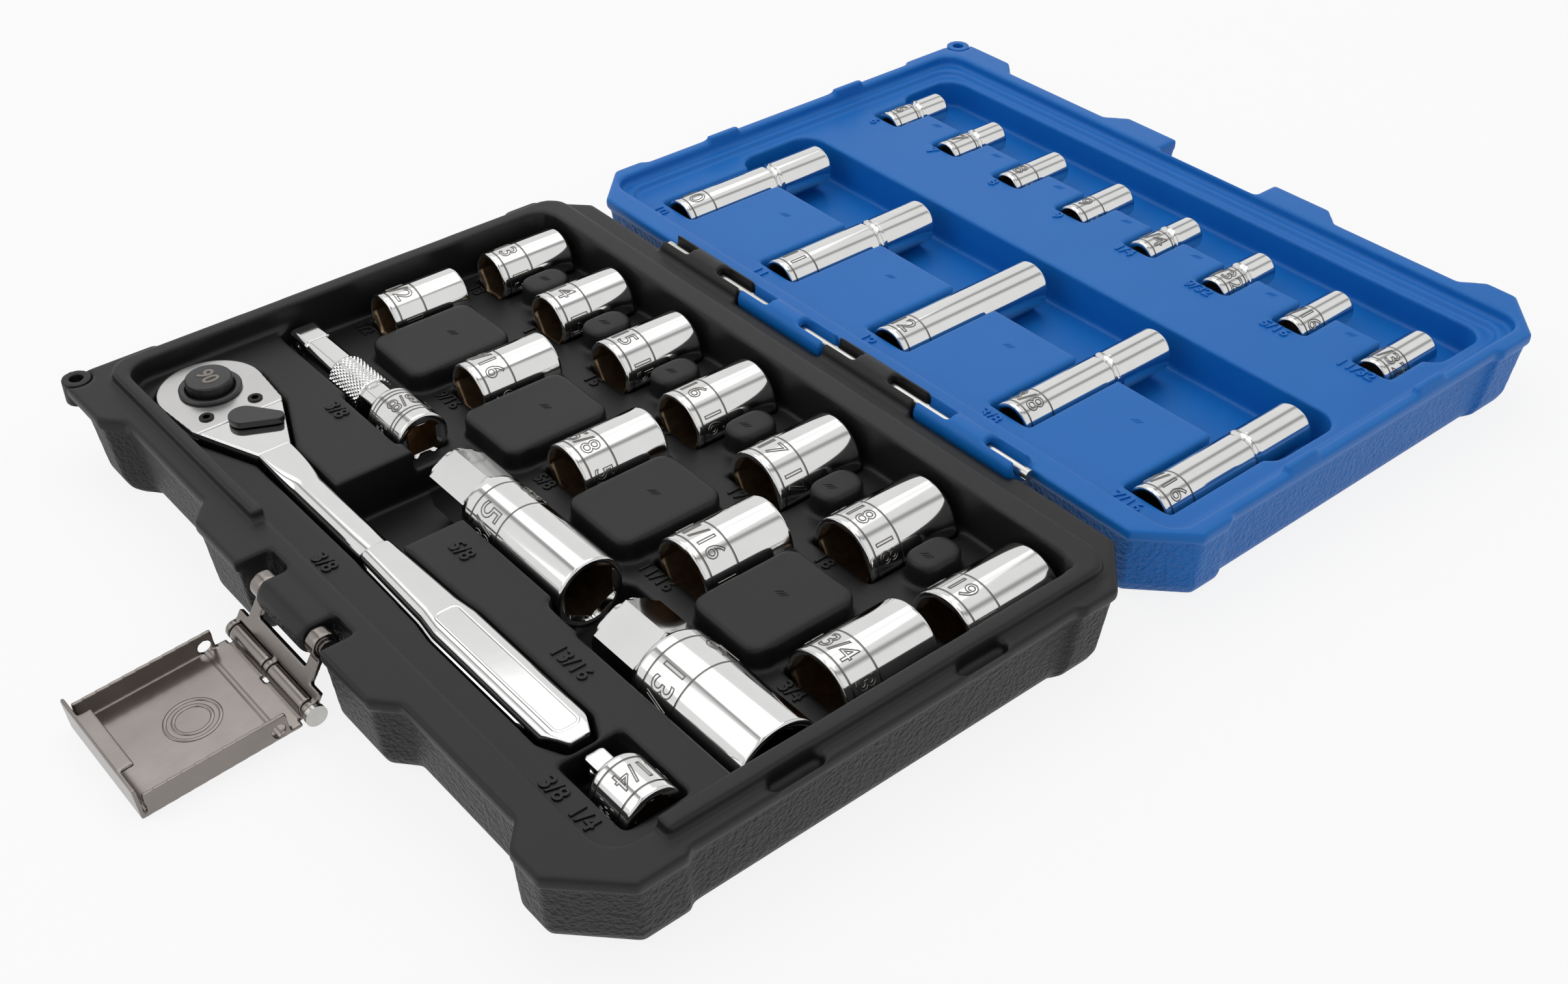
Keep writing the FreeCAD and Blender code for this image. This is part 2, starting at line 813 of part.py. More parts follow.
def base_shell():
    notch_half, notch_wall = size("notch_width") / 2, from_front("notch_depth")
    shell = body_of(BASE).cut(void_of(BASE).cut(base_hollows(size("wall"))))
    shell = shell.fuse(base_lip()).cut(base_hollows(0))
    shell = shell.cut(united(rim_slots(BASE, 0, HEIGHT - size("slot_depth"), SKY)))
    shell = shell.cut(block(BASE, -notch_half, notch_half, notch_wall, 2 * size("case_depth"), -SKY, SKY))
    axis_z, radius = HEIGHT - size("latch_drop"), size("latch_knuckle_radius")
    wide = size("latch_knuckle_width") / 2
    axis_v = from_front("latch_setback")
    axis_y = across(BASE, axis_v)
    web = block(BASE, -wide, wide, notch_wall - size("wall") / 2, axis_v, axis_z - radius, axis_z + radius)
    shell = shell.fuse(united([web, rod_along_x(radius, -wide, wide, axis_y, axis_z)]))
    shell = shell.cut(rod_along_x(size("latch_rod") / 2 + size("rod_fit"), -wide, wide, axis_y, axis_z))
    return with_knuckles(shell, BASE)


def lid_shell():
    notch_half, notch_wall = size("notch_width") / 2, from_front("notch_depth")
    shell = body_of(LID).cut(void_of(LID).cut(lid_hollows(size("wall"))))
    shell = shell.cut(lid_hollows(0))
    shell = shell.cut(block(LID, -notch_half, notch_half, notch_wall, 2 * size("case_depth"), -SKY, SKY))
    wide, low = size("catch_width") / 2, size("catch_inset")
    catch = block(LID, -wide, wide, notch_wall - size("wall") / 2, from_front("catch_setback"), low,
                  low + size("catch_thickness"))
    groove = block(LID, -notch_half, notch_half, from_front("groove_near_setback"),
                   from_front("groove_far_setback"), -SKY, low + size("catch_groove_depth"))
    shell = shell.fuse(catch.cut(groove))
    bosses = rim_slots(LID, size("boss_clearance"), HEIGHT - size("lip_root"), HEIGHT + size("boss_height"))
    return with_knuckles(shell.fuse(united(bosses)), LID)


keep("base_shell", coded("base_moulding", base_shell()))
keep("lid_shell", coded("lid_moulding", lid_shell()))

# Lock ears at the front left corner of the rim
for part, ear_side in (("base", BASE), ("lid", LID)):
    ear = cylinder(part + "_ear_post", "lock_tab_radius", "lock_tab_thickness")
    ear_hole = cylinder(part + "_ear_hole", "lock_hole / 2", "lock_tab_thickness + 2 * overcut", z="-overcut")
    keep(part + "_lock_ear", cut(part + "_ear", ear, [ear_hole]), Placement(lock_place(ear_side), UPRIGHT))

# Hinge rod
rod = cylinder("hinge_wire", "hinge_rod / 2", "hinge_end - hinge_start + hinge_rod_proud")
keep("hinge_rod", rod, Placement(Vector(size("hinge_start"), AXIS_Y, AXIS_Z), ALONG_X))

# Latch: rod in the base, link with two ears, pin and plate with its hook
LATCH_Y = across(BASE, from_front("latch_setback"))
LATCH_Z = HEIGHT - size("latch_drop")
PIN_Y = LATCH_Y - size("link_reach_out")
PIN_Z = LATCH_Z - size("link_reach_down")

bar = cylinder("latch_bar", "latch_rod / 2", "latch_rod_length")
keep("latch_rod", bar, Placement(Vector(-size("latch_rod_length") / 2, LATCH_Y, LATCH_Z), ALONG_X))

EAR_X = "latch_knuckle_width / 2 + latch_play"
LUG_X = "plate_width / 2 - link_lug_width + latch_play"
link_run = "sqrt(pow(link_reach_out; 2) + pow(link_reach_down; 2))"
link_solids = []
for tag, start in (("left", f"-({EAR_X}) - link_ear_width"), ("right", EAR_X)):
    link_solids.append(cylinder(f"link_ear_{tag}", "link_ear_outer / 2", "link_ear_width", x=start,
                                turn=ALONG_X))
    link_solids.append(slab(f"link_strip_{tag}", "link_ear_width", f"{link_run} / 2", "link_sheet",
                            start, f"-{link_run} / 2", "-link_sheet / 2"))
web_low = f"-{link_run} + latch_tube / 2 + latch_play"
link_solids.append(slab("link_web", f"2 * ({EAR_X} + link_ear_width)",
                        f"{link_run} / 2 - latch_tube / 2 - latch_play", "link_sheet",
                        f"-({EAR_X}) - link_ear_width", web_low, "-link_sheet / 2"))
link_solids.append(slab("link_base", f"2 * ({LUG_X} + link_lug_width)", "link_foot", "link_sheet",
                        f"-({LUG_X}) - link_lug_width", web_low, "-link_sheet / 2"))
LUGS = (("left", f"-({LUG_X}) - link_lug_width"), ("middle", "-link_lug_width / 2"), ("right", LUG_X))
for tag, start in LUGS:
    link_solids.append(cylinder(f"link_lug_{tag}", "latch_tube / 2", "link_lug_width", x=start,
                                y=f"-{link_run}", turn=ALONG_X))
    link_solids.append(slab(f"link_tongue_{tag}", "link_lug_width", "latch_tube / 2 + latch_play + tube_root",
                            "link_sheet", start, f"-{link_run}", "-link_sheet / 2"))
link_bores = [cylinder("link_rod_bore", "latch_rod / 2 + rod_fit", "case_width", x="-case_width / 2",
                       turn=ALONG_X),
              cylinder("link_pin_bore", "latch_pin / 2 + rod_fit", "case_width", x="-case_width / 2",
                       y=f"-{link_run}", turn=ALONG_X)]
link_angle = math.degrees(math.atan2(size("link_reach_down"), size("link_reach_out")))
keep("latch_link", cut("link_sheet_metal", fused("link_blank", link_solids), link_bores),
     Placement(Vector(0, LATCH_Y, LATCH_Z), Rotation(Vector(1, 0, 0), link_angle)))

pin_length = "plate_width + 2 * latch_play + 2 * pin_proud"
pin_shaft = cylinder("pin_shaft", "latch_pin / 2", f"{pin_length} + pin_head / 2")
pin_cap = cylinder("pin_cap", "latch_pin", "pin_head", z=pin_length)
keep("latch_pin", fused("pin_turned", [pin_shaft, pin_cap]),
     Placement(Vector(-size("plate_width") / 2 - size("latch_play") - size("pin_proud"), PIN_Y, PIN_Z),
               ALONG_X))

plate_solids = []
for tag, start in (("left", f"-({LUG_X}) + latch_play"), ("right", "link_lug_width / 2 + latch_play")):
    run = f"({LUG_X}) - link_lug_width / 2 - 2 * latch_play"
    plate_solids.append(cylinder(f"plate_tube_{tag}", "latch_tube / 2", run, x=start, turn=ALONG_X))
    plate_solids.append(slab(f"plate_tail_{tag}", run, "latch_tube / 2 + latch_play + tube_root",
                             "plate_sheet", start, "-latch_tube / 2 - latch_play - tube_root",
                             "-latch_tube / 2"))
plate_solids.append(slab("plate_floor", "plate_width", "plate_length - latch_tube / 2 - latch_play",
                         "plate_sheet",
                         "-plate_width / 2", "-plate_length", "-latch_tube / 2"))
for tag, start in (("left", "-plate_width / 2"), ("right", "plate_width / 2 - plate_sheet")):
    plate_solids.append(slab(f"plate_side_{tag}", "plate_sheet",
                             "plate_length - latch_tube / 2 - 2 * latch_play - flange_back - flange_inset",
                             "plate_flange", start, "-plate_length + flange_inset", "-latch_tube / 2"))
plate_solids.append(slab("hook_riser", "plate_width", "plate_sheet", "hook_rise", "-plate_width / 2",
                         "-plate_length", "-latch_tube / 2"))
plate_solids.append(slab("hook_lip", "catch_width", "hook_return", "plate_sheet", "-catch_width / 2",
                         "-plate_length", "-latch_tube / 2 + hook_rise - plate_sheet"))
plate_bores = [cylinder("plate_pin_bore", "latch_pin / 2 + rod_fit", "case_width", x="-case_width / 2",
                        turn=ALONG_X),
               cylinder("plate_flange_hole", "plate_hole / 2", "case_width", x="-case_width / 2",
                        y="-latch_tube - plate_hole", turn=ALONG_X)]
plate_drop = PIN_Z - size("latch_tube") / 2 - size("ground_gap")
plate_slope = math.degrees(math.asin(plate_drop / size("plate_length")))
keep("latch_plate", cut("plate_sheet_metal", fused("plate_blank", plate_solids), plate_bores),
     Placement(Vector(0, PIN_Y, PIN_Z), Rotation(Vector(1, 0, 0), plate_slope)))

# Ratchet, built round the gear axis with its top face at zero
HEAD = Placement(Vector(size("ratchet_head_x"), across(BASE, size("ratchet_axis")), HEAD_TOP), UPRIGHT)


def ratchet_blank():
    """Head, neck and grip in one piece with the long edges of the grip rounded."""
    head, wedge, neck, grip = ratchet_plan(0, 0)
    taper = 2 * size("grip_taper")
    sides = [edge for edge in grip.Edges if not is_upright(edge) and edge.BoundBox.XLength > taper]
    neck_sides = [edge for edge in neck.Edges if edge.BoundBox.XLength > taper]
    soft_neck = neck.makeFillet(size("neck_round"), neck_sides)
    return united([head, wedge, soft_neck, grip.makeFillet(size("grip_round"), sides)]).removeSplitter()


def from_head(shape):
    """Bring a shape drawn in its place back to the gear axis."""
    shape.translate(-HEAD.Base)
    return shape


def on_head(x, y, z, turn=UPRIGHT):
    return HEAD.multiply(Placement(Vector(x, y, z), turn))


head_disc, head_wedge = ratchet_plan(0, 0)[:2]
COVER_EDGE = "cover_edge_x - ratchet_head_x"
SCREW_X = "screw_x - ratchet_head_x"
LEVER_X = "lever_pivot_x - ratchet_head_x"
cover_seat = slab("cover_seat", f"{COVER_EDGE} + case_width", "case_width", "cover_thickness + overcut",
                  "-case_width", "-case_width / 2", "-cover_thickness")
gear_space = cylinder("gear_space", "gear_diameter / 2 + gear_clearance",
                      "head_thickness - gear_floor + overcut", z="-head_thickness + gear_floor")
hub_hole = cylinder("hub_hole", "gear_hub / 2 + gear_clearance", "head_thickness",
                    z="-head_thickness - overcut")
pawl_space = slab("pawl_space", "pawl_gap + pawl_length + pawl_spring_length + pawl_play",
                  "pawl_width + 2 * pawl_play", "head_thickness - gear_floor + overcut",
                  "gear_diameter / 2 - pawl_play / 2", "-pawl_width / 2 - pawl_play",
                  "-head_thickness + gear_floor")
lever_hole = cylinder("lever_hole", "lever_shaft / 2 + lever_fit", "lever_shaft_depth + lever_lift + overcut",
                      x=LEVER_X, z="-lever_shaft_depth - lever_lift")
screw_holes = [cylinder(f"screw_hole_{tag}", "screw_shank / 2 + cover_fit", "screw_length + overcut",
                        x=SCREW_X, y=f"{sign}screw_spread / 2", z="-screw_length - overcut / 2")
               for tag, sign in (("near", "-"), ("far", ""))]
keep("ratchet_body", cut("ratchet_forging", coded("ratchet_blank", from_head(ratchet_blank())),
                         [cover_seat, gear_space, hub_hole, pawl_space, lever_hole] + screw_holes), HEAD)

cover_sheet = coded("cover_outline", from_head(head_disc.fuse(head_wedge)))
cover_zone = slab("cover_zone", f"{COVER_EDGE} + case_width", "case_width", "cover_thickness", "-case_width",
                  "-case_width / 2", "-cover_thickness")
cover_blank = doc.addObject("Part::Common", "cover_blank")
cover_blank.Base = cover_sheet
cover_blank.Tool = cover_zone
cover_depth = "cover_thickness + 2 * overcut"
cover_holes = [cylinder("cover_bore", "bezel_skirt / 2 + cover_fit", cover_depth,
                        z="-cover_thickness - overcut")]
cover_holes += [cylinder(f"cover_screw_hole_{tag}", "screw_shank / 2 + cover_fit", cover_depth, x=SCREW_X,
                         y=f"{sign}screw_spread / 2", z="-cover_thickness - overcut")
                for tag, sign in (("near", "-"), ("far", ""))]
keep("ratchet_cover", cut("cover_plate", cover_blank, cover_holes), HEAD)

for tag, sign in (("near", "-"), ("far", "")):
    shank = cylinder(f"screw_shank_{tag}", "screw_shank / 2", "screw_length", x=SCREW_X,
                     y=f"{sign}screw_spread / 2", z="-screw_length")
    head = cylinder(f"screw_head_{tag}", "screw_head / 2", "screw_head_height", x=SCREW_X,
                    y=f"{sign}screw_spread / 2")
    keep(f"cover_screw_{tag}", fused(f"screw_{tag}", [shank, head]), HEAD)

bezel_flange = cylinder("bezel_flange", "bezel_outer / 2", "bezel_height")
bezel_skirt = cylinder("bezel_skirt_ring", "bezel_skirt / 2", "cover_thickness", z="-cover_thickness")
bezel_bore = cylinder("bezel_bore_hole", "bezel_bore / 2", "cover_thickness + bezel_height + 2 * overcut",
                      z="-cover_thickness - overcut")
keep("bezel_ring", cut("bezel", fused("bezel_blank", [bezel_flange, bezel_skirt]), [bezel_bore]), HEAD)

GEAR_TOP = "-cover_thickness - gear_clearance"
ANVIL_LOW = "-head_thickness - anvil_length"


def toothed_ring():
    """The fine-toothed ring of the drive gear."""
    outer = size("gear_diameter") / 2
    inner = outer - size("gear_tooth_depth")
    count = 2 * int(size("gear_teeth"))
    height = size("head_thickness") - size("gear_floor") - size("cover_thickness")
    height -= 2 * size("gear_clearance")
    low = -size("head_thickness") + size("gear_floor") + size("gear_clearance")
    turns = [2 * math.pi * step / count for step in range(count)]
    radii = [outer if step % 2 else inner for step in range(count)]
    corners = [Vector(radius * math.cos(turn), radius * math.sin(turn), low)
               for radius, turn in zip(radii, turns)]
    return Part.Face(Part.makePolygon(corners + corners[:1])).extrude(Vector(0, 0, height))


gear_hub = cylinder("gear_hub_boss", "gear_hub / 2", "gear_floor + gear_clearance + gear_root",
                    z="-head_thickness")
anvil = square("anvil_bar", "drive_square", "anvil_length + gear_root", ANVIL_LOW)
gear_well = cylinder("gear_spring_well", "gear_well / 2", "gear_well_depth + overcut",
                     z=f"{GEAR_TOP} - gear_well_depth")
pin_bore = cylinder("release_bore", "release_pin / 2 + rod_fit", "head_thickness + overcut",
                    z="-head_thickness - overcut")
BALL_Z = "-head_thickness - anvil_length / 2"
ball_hole = cylinder("anvil_ball_hole", "ball_diameter / 2 + ball_fit", "drive_square / 2",
                     y="-drive_square / 2 - overcut", z=BALL_Z, turn=ALONG_Y)
gear = cut("gear_cut", fused("gear_blank", [coded("gear_teeth_ring", toothed_ring()), gear_hub, anvil]),
           [gear_well, pin_bore, ball_hole])
keep("drive_gear", gear, HEAD)

anvil_ball = primitive("Part::Sphere", "anvil_ball_sphere", {"Radius": "ball_diameter / 2"})
keep("anvil_ball", anvil_ball, on_head(
    0, -size("drive_square") / 2 - size("ball_proud") + size("ball_diameter") / 2,
    -size("head_thickness") - size("anvil_length") / 2))

button_body = cylinder("button_body", "button_diameter / 2", "button_height + button_skirt")
keep("release_button", button_body, on_head(0, 0, -size("button_skirt")))
plunger = cylinder("release_plunger", "release_pin / 2", "head_thickness - button_skirt - button_travel")
keep("release_pin", plunger, on_head(0, 0, -size("head_thickness") + size("button_travel")))

coil_room = "gear_well_depth + gear_clearance + cover_thickness - button_skirt - button_travel"
coil_path = primitive("Part::Helix", "coil_path", {
    "Pitch": "spring_pitch", "Radius": "spring_diameter / 2", "Height": f"{coil_room} - 2 * spring_wire"})
coil_wire = primitive("Part::Circle", "coil_wire", {"Radius": "spring_wire / 2"}, x="spring_diameter / 2",
                      turn=Rotation(Vector(1, 0, 0), 90))
coil = doc.addObject("Part::Sweep", "coil_sweep")
coil.Sections = [coil_wire]
coil.Spine = (coil_path, [])
coil.Solid = True
coil.Frenet = True
well_floor = -size("cover_thickness") - size("gear_clearance") - size("gear_well_depth")
keep("release_spring", coil, on_head(0, 0, well_floor + size("spring_wire") / 2 + size("rod_fit")))

PAWL_X = size("gear_diameter") / 2 + size("pawl_gap")
pawl = primitive("Part::Box", "pawl_block", {
    "Length": "pawl_length", "Width": "pawl_width",
    "Height": "head_thickness - gear_floor - cover_thickness - 2 * gear_clearance"})
keep("pawl", pawl, on_head(PAWL_X, -size("pawl_width") / 2,
                           -size("head_thickness") + size("gear_floor") + size("gear_clearance")))
pawl_spring = cylinder("pawl_spring_post", "pawl_spring / 2", "pawl_spring_length")
keep("pawl_spring", pawl_spring, on_head(PAWL_X + size("pawl_length") + size("pawl_spring_fit"), 0,
                                         -size("head_thickness") / 2, ALONG_X))


def lever_paddle():
    """The teardrop paddle of the reversing lever, pointing along X."""
    hub, tip, reach = size("lever_hub") / 2, size("lever_tip") / 2, size("lever_reach")
    thick, lift = size("lever_thickness"), size("lever_lift")
    lean = math.acos((hub - tip) / reach)
    arms = [(hub * math.cos(lean), hub * math.sin(lean)),
            (reach + tip * math.cos(lean), tip * math.sin(lean))]
    corners = [Vector(x, y, lift) for x, y in arms + [(x, -y) for x, y in reversed(arms)]]
    arm = Part.Face(Part.makePolygon(corners + corners[:1])).extrude(Vector(0, 0, thick))
    return united([Part.makeCylinder(hub, thick, Vector(0, 0, lift)), arm,
                   Part.makeCylinder(tip, thick, Vector(reach, 0, lift))]).removeSplitter()


lever_shaft = cylinder("lever_shaft_post", "lever_shaft / 2", "lever_shaft_depth + lever_thickness",
                       z="-lever_shaft_depth")
lever = fused("lever_turned", [coded("lever_paddle", lever_paddle()), lever_shaft])
keep("reverse_lever", lever, on_head(size("lever_pivot_x") - size("ratchet_head_x"), 0, 0,
                                     Rotation(Vector(0, 0, 1), size("lever_angle"))))


# Plain sockets, built along Z from the hex end to the drive end
def socket(place):
    key, node = place["key"], place["node"]
    quarter = place["row"] == "small"
    side = "quarter_square + drive_fit" if quarter else "drive_square + drive_fit"
    depth = "quarter_depth" if quarter else "drive_depth"
    blank = cylinder(node + "_blank", f"{key}_outer / 2", f"{key}_length")
    eased = doc.addObject("Part::Chamfer", node + "_eased")
    eased.Base = blank
    ease = size("socket_chamfer")
    eased.Edges = [(1, ease, ease), (3, ease, ease)]
    tools = [hexagon(node + "_hex", f"{key}_flats", f"{key}_length - {depth}"),
             square(node + "_drive", side, f"{depth} + overcut", f"{key}_length - {depth}")]
    if key in GROOVED:
        tools.append(primitive("Part::Torus", node + "_groove", {
            "Radius1": f"{key}_outer / 2 + socket_groove - socket_groove_depth", "Radius2": "socket_groove"},
            z=f"{key}_length * {place['row']}_hex_part"))
    y = across(place["side"], place["v"])
    if place["side"] == BASE:
        y -= place["length"]
    keep(node, cut(node + "_cut", eased, tools), Placement(Vector(place["x"], y, place["z"]), ALONG_Y))


for socket_place in SOCKET_PLACES:
    socket(socket_place)


# Tools that lie along X, built along Z from the left end
def lying_place(key):
    tool = LYING[key]
    return Placement(Vector(tool["x"], across(BASE, tool["v"]), tool["z"]), ALONG_X)


def detent_ball(node, key, diameter, side, male):
    """The ball in one flat of a male square and the hole it sits in."""
    reach = size(diameter) / 2 - size("ball_proud") - size(side) / 2
    ball = primitive("Part::Sphere", node + "_sphere", {"Radius": f"{diameter} / 2"})
    along = size(male) * size("ball_part")
    keep(node, ball, lying_place(key).multiply(Placement(Vector(0, reach, along), UPRIGHT)))
    return cylinder(node + "_hole", f"{diameter} / 2 + ball_fit", f"{side} / 2",
                    y=f"-{side} / 2 - overcut / 2", z=f"{male} * ball_part", turn=ALONG_Y)


FEMALE_Z = "extension_length - extension_female_length"
bar_solids = [
    square("extension_square", "drive_square", "extension_male + gear_root", "0"),
    cylinder("extension_bar_shaft", "extension_shaft / 2", f"{FEMALE_Z} - extension_male",
             z="extension_male"),
    cylinder("extension_grip_band", "extension_knurl / 2", "extension_knurl_length",
             z="extension_knurl_start"),
    primitive("Part::Cone", "extension_flare", {
        "Radius1": "extension_shaft / 2", "Radius2": "extension_female / 2", "Height": "extension_taper"},
        z=f"{FEMALE_Z} - extension_taper"),
    cylinder("extension_collar", "extension_female / 2", "extension_female_length", z=FEMALE_Z),
]
bar_tools = [
    square("extension_recess", "drive_square + drive_fit", "drive_depth + overcut",
           "extension_length - drive_depth"),
    detent_ball("extension_ball", "extension", "ball_diameter", "drive_square", "extension_male"),
]
keep("extension_bar", cut("extension_cut", fused("extension_blank", bar_solids), bar_tools),
     lying_place("extension"))

adapter_solids = [
    square("adapter_square", "quarter_square", "quarter_depth + gear_root", "0"),
    cylinder("adapter_collar", "adapter_outer / 2", "adapter_length - quarter_depth", z="quarter_depth"),
]
adapter_tools = [
    square("adapter_recess", "drive_square + drive_fit", "drive_depth + overcut",
           "adapter_length - drive_depth"),
    detent_ball("adapter_ball", "adapter", "quarter_ball_diameter", "quarter_square", "quarter_depth"),
]
adapter = cut("adapter_cut", fused("adapter_blank", adapter_solids), adapter_tools)
keep("adapter", adapter, lying_place("adapter"))

for spark_size in SPARK_SIZES:
    spark = "spark_" + spark_size
    insert_low = f"{spark}_length - spark_hex_depth - spark_insert_length"
    spark_solids = [
        hexagon(spark + "_end", f"{spark}_end_flats", "spark_end_length + spark_step"),
        cylinder(spark + "_barrel", f"{spark}_outer / 2", f"{spark}_length - spark_end_length",
                 z="spark_end_length"),
    ]
    spark_tools = [
        square(spark + "_drive", "drive_square + drive_fit", "drive_depth + 2 * overcut", "-overcut"),
        cylinder(spark + "_passage", "spark_passage / 2", f"{spark}_length"),
        cylinder(spark + "_bore", f"{spark}_flats / 2", f"{spark}_length", z=insert_low),
        hexagon(spark + "_hex", f"{spark}_flats", "spark_hex_depth + overcut",
                z=f"{spark}_length - spark_hex_depth"),
    ]
    spark_socket = cut(spark + "_cut", fused(spark + "_blank", spark_solids), spark_tools)
    keep(f"spark_socket_{spark_size}", spark_socket, lying_place(spark))
    sleeve = cylinder(spark + "_sleeve", f"{spark}_flats / 2 - spark_insert_fit",
                      "spark_insert_length - 2 * spark_insert_play", z=f"{insert_low} + spark_insert_play")
    sleeve_bore = cylinder(spark + "_sleeve_bore", "spark_insert_bore / 2", f"{spark}_length")
    keep(f"spark_insert_{spark_size}", cut(spark + "_insert", sleeve, [sleeve_bore]), lying_place(spark))

doc.recompute()

# Check and export
for thing in doc.Objects:
    if any(word in thing.State for word in ("Invalid", "Error")):
        raise RuntimeError(f"{thing.Name} did not compute: {thing.State}")
os.makedirs("parts", exist_ok=True)
for thing in PARTS:
    if thing.Shape.isNull() or not thing.Shape.isValid():
        raise RuntimeError(f"{thing.Label} has no valid shape")
    thing.Shape.exportStep(f"parts/{thing.Label}.step")
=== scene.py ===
# %% [markdown]
# The object is a socket wrench set lying in its open case: a black base and a blue lid, both blow-moulded,
# with chromed tools in their trays. The imported model is the fixed frame, and every piece here is drawn in
# that frame, in metres.

# %% Load the frame
import functools
import math

import bmesh
import bpy
import numpy as np
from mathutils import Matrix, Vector
from mathutils.bvhtree import BVHTree


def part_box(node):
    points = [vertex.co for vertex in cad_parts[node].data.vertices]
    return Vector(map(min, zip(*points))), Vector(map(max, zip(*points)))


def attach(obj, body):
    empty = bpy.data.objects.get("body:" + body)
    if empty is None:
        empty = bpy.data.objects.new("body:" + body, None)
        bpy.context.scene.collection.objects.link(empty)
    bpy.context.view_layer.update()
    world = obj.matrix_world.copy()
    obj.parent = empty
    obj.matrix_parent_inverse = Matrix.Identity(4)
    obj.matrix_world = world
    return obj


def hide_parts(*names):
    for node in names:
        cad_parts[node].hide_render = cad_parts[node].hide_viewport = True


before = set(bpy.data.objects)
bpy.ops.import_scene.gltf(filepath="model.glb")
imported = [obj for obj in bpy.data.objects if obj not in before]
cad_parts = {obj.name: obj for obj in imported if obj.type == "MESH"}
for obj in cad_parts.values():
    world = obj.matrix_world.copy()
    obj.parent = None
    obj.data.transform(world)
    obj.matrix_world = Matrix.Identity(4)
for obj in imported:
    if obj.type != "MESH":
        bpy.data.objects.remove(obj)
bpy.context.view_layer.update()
MM = 0.001

# %% [markdown]
# The camera stands where the photograph was taken from. Its place, direction and focal length were solved
# from the known shape of the rim and the hinge line, so the picture needs no shift and no roll.

# %% Camera
CAMERA_PLACE = np.array([382.04, -239.62, 360.53]) * MM
CAMERA_BACK = Vector((0.60828, -0.51051, 0.60776))
FOCAL_PIXELS, PICTURE_WIDTH, SENSOR_WIDTH = 2929.7, 2410, 36

camera = bpy.data.objects.new("camera", bpy.data.cameras.new("camera"))
camera.data.sensor_width = SENSOR_WIDTH
camera.data.lens = FOCAL_PIXELS / PICTURE_WIDTH * SENSOR_WIDTH
camera.data.clip_start, camera.data.clip_end = 0.01, 20
camera.location = CAMERA_PLACE
camera.rotation_mode = "QUATERNION"
camera.rotation_quaternion = (-CAMERA_BACK).to_track_quat("-Z", "Y")
bpy.context.scene.collection.objects.link(camera)
bpy.context.scene.camera = camera
print("lens", round(camera.data.lens, 2))

# %% [markdown]
# Every finish is a small network of nodes. One function adds a node, sets its properties and links its
# inputs, and another turns a colour as it is written for the screen into the linear light Blender works in.


# %% Helpers for the finishes
def from_hex(code):
    """Linear colour of a screen colour: a channel above 0.04045 is ((c + 0.055) / 1.055) to the power 2.4."""
    screen = np.array([int(code[i:i + 2], 16) for i in (1, 3, 5)]) / 255
    linear = np.where(screen <= 0.04045, screen / 12.92, ((screen + 0.055) / 1.055) ** 2.4)
    return (*linear.tolist(), 1.0)


def add(tree, kind, inputs=(), **settings):
    """Add one node: settings are its properties, and each input is a value or another node's output."""
    node = tree.nodes.new("ShaderNode" + kind)
    for name, value in settings.items():
        setattr(node, name, value)
    for name, value in dict(inputs).items():
        if isinstance(value, bpy.types.NodeSocket):
            tree.links.new(value, node.inputs[name])
        else:
            node.inputs[name].default_value = value
    return node


def new_finish(name, **inputs):
    """A material with one principled shader, whose plain inputs are set by name, and object coordinates."""
    material = bpy.data.materials.new(name)
    material.use_nodes = True
    tree = material.node_tree
    shader = tree.nodes["Principled BSDF"]
    for word, value in inputs.items():
        shader.inputs[word.replace("_", " ")].default_value = value
    place = add(tree, "TexCoord").outputs["Object"]
    return material, tree, shader, place


# %% [markdown]
# The case is high-density polyethylene, blown into a mould. The inside of each shell and the rim are smooth
# and satin, with the faint waviness of a blown wall. The outside walls carry a leathery grain about a
# millimetre across, cut into the mould so that scratches don't show.


# %% Case plastics
MOTTLE_MM, SPECK_MM = 14, 0.7


def moulded_plastic(name, colour, scuffed, roughness, grain_mm, grain_depth_mm):
    """Polyethylene: two noises mottle colour and gloss, and one of the grain's real size lifts the skin."""
    material, tree, shader, place = new_finish(name, Roughness=roughness, IOR=1.52, Specular_IOR_Level=0.3)
    mottle = add(tree, "TexNoise", {"Vector": place, "Scale": 1 / (MOTTLE_MM * MM), "Detail": 4.0})
    fine = add(tree, "TexNoise", {"Vector": place, "Scale": 1 / (SPECK_MM * MM), "Detail": 3.0})
    shade = add(tree, "Mix", {0: mottle.outputs[0], 6: from_hex(colour), 7: from_hex(scuffed)},
                data_type="RGBA")
    tree.links.new(shade.outputs[2], shader.inputs["Base Color"])
    gloss = add(tree, "MapRange", {"Value": fine.outputs[0], "To Min": roughness - 0.06,
                                   "To Max": roughness + 0.07})
    tree.links.new(gloss.outputs[0], shader.inputs["Roughness"])
    pebble = add(tree, "TexVoronoi", {"Vector": place, "Scale": 1 / (grain_mm * MM), "Randomness": 1.0},
                 feature="SMOOTH_F1")
    rough = add(tree, "TexNoise", {"Vector": place, "Scale": 1 / (0.6 * grain_mm * MM), "Detail": 2.0})
    height = add(tree, "Math", {0: pebble.outputs["Distance"], 1: rough.outputs[0]}, operation="ADD")
    bump = add(tree, "Bump", {"Height": height.outputs[0], "Distance": grain_depth_mm * MM, "Strength": 1.0})
    tree.links.new(bump.outputs[0], shader.inputs["Normal"])
    return material


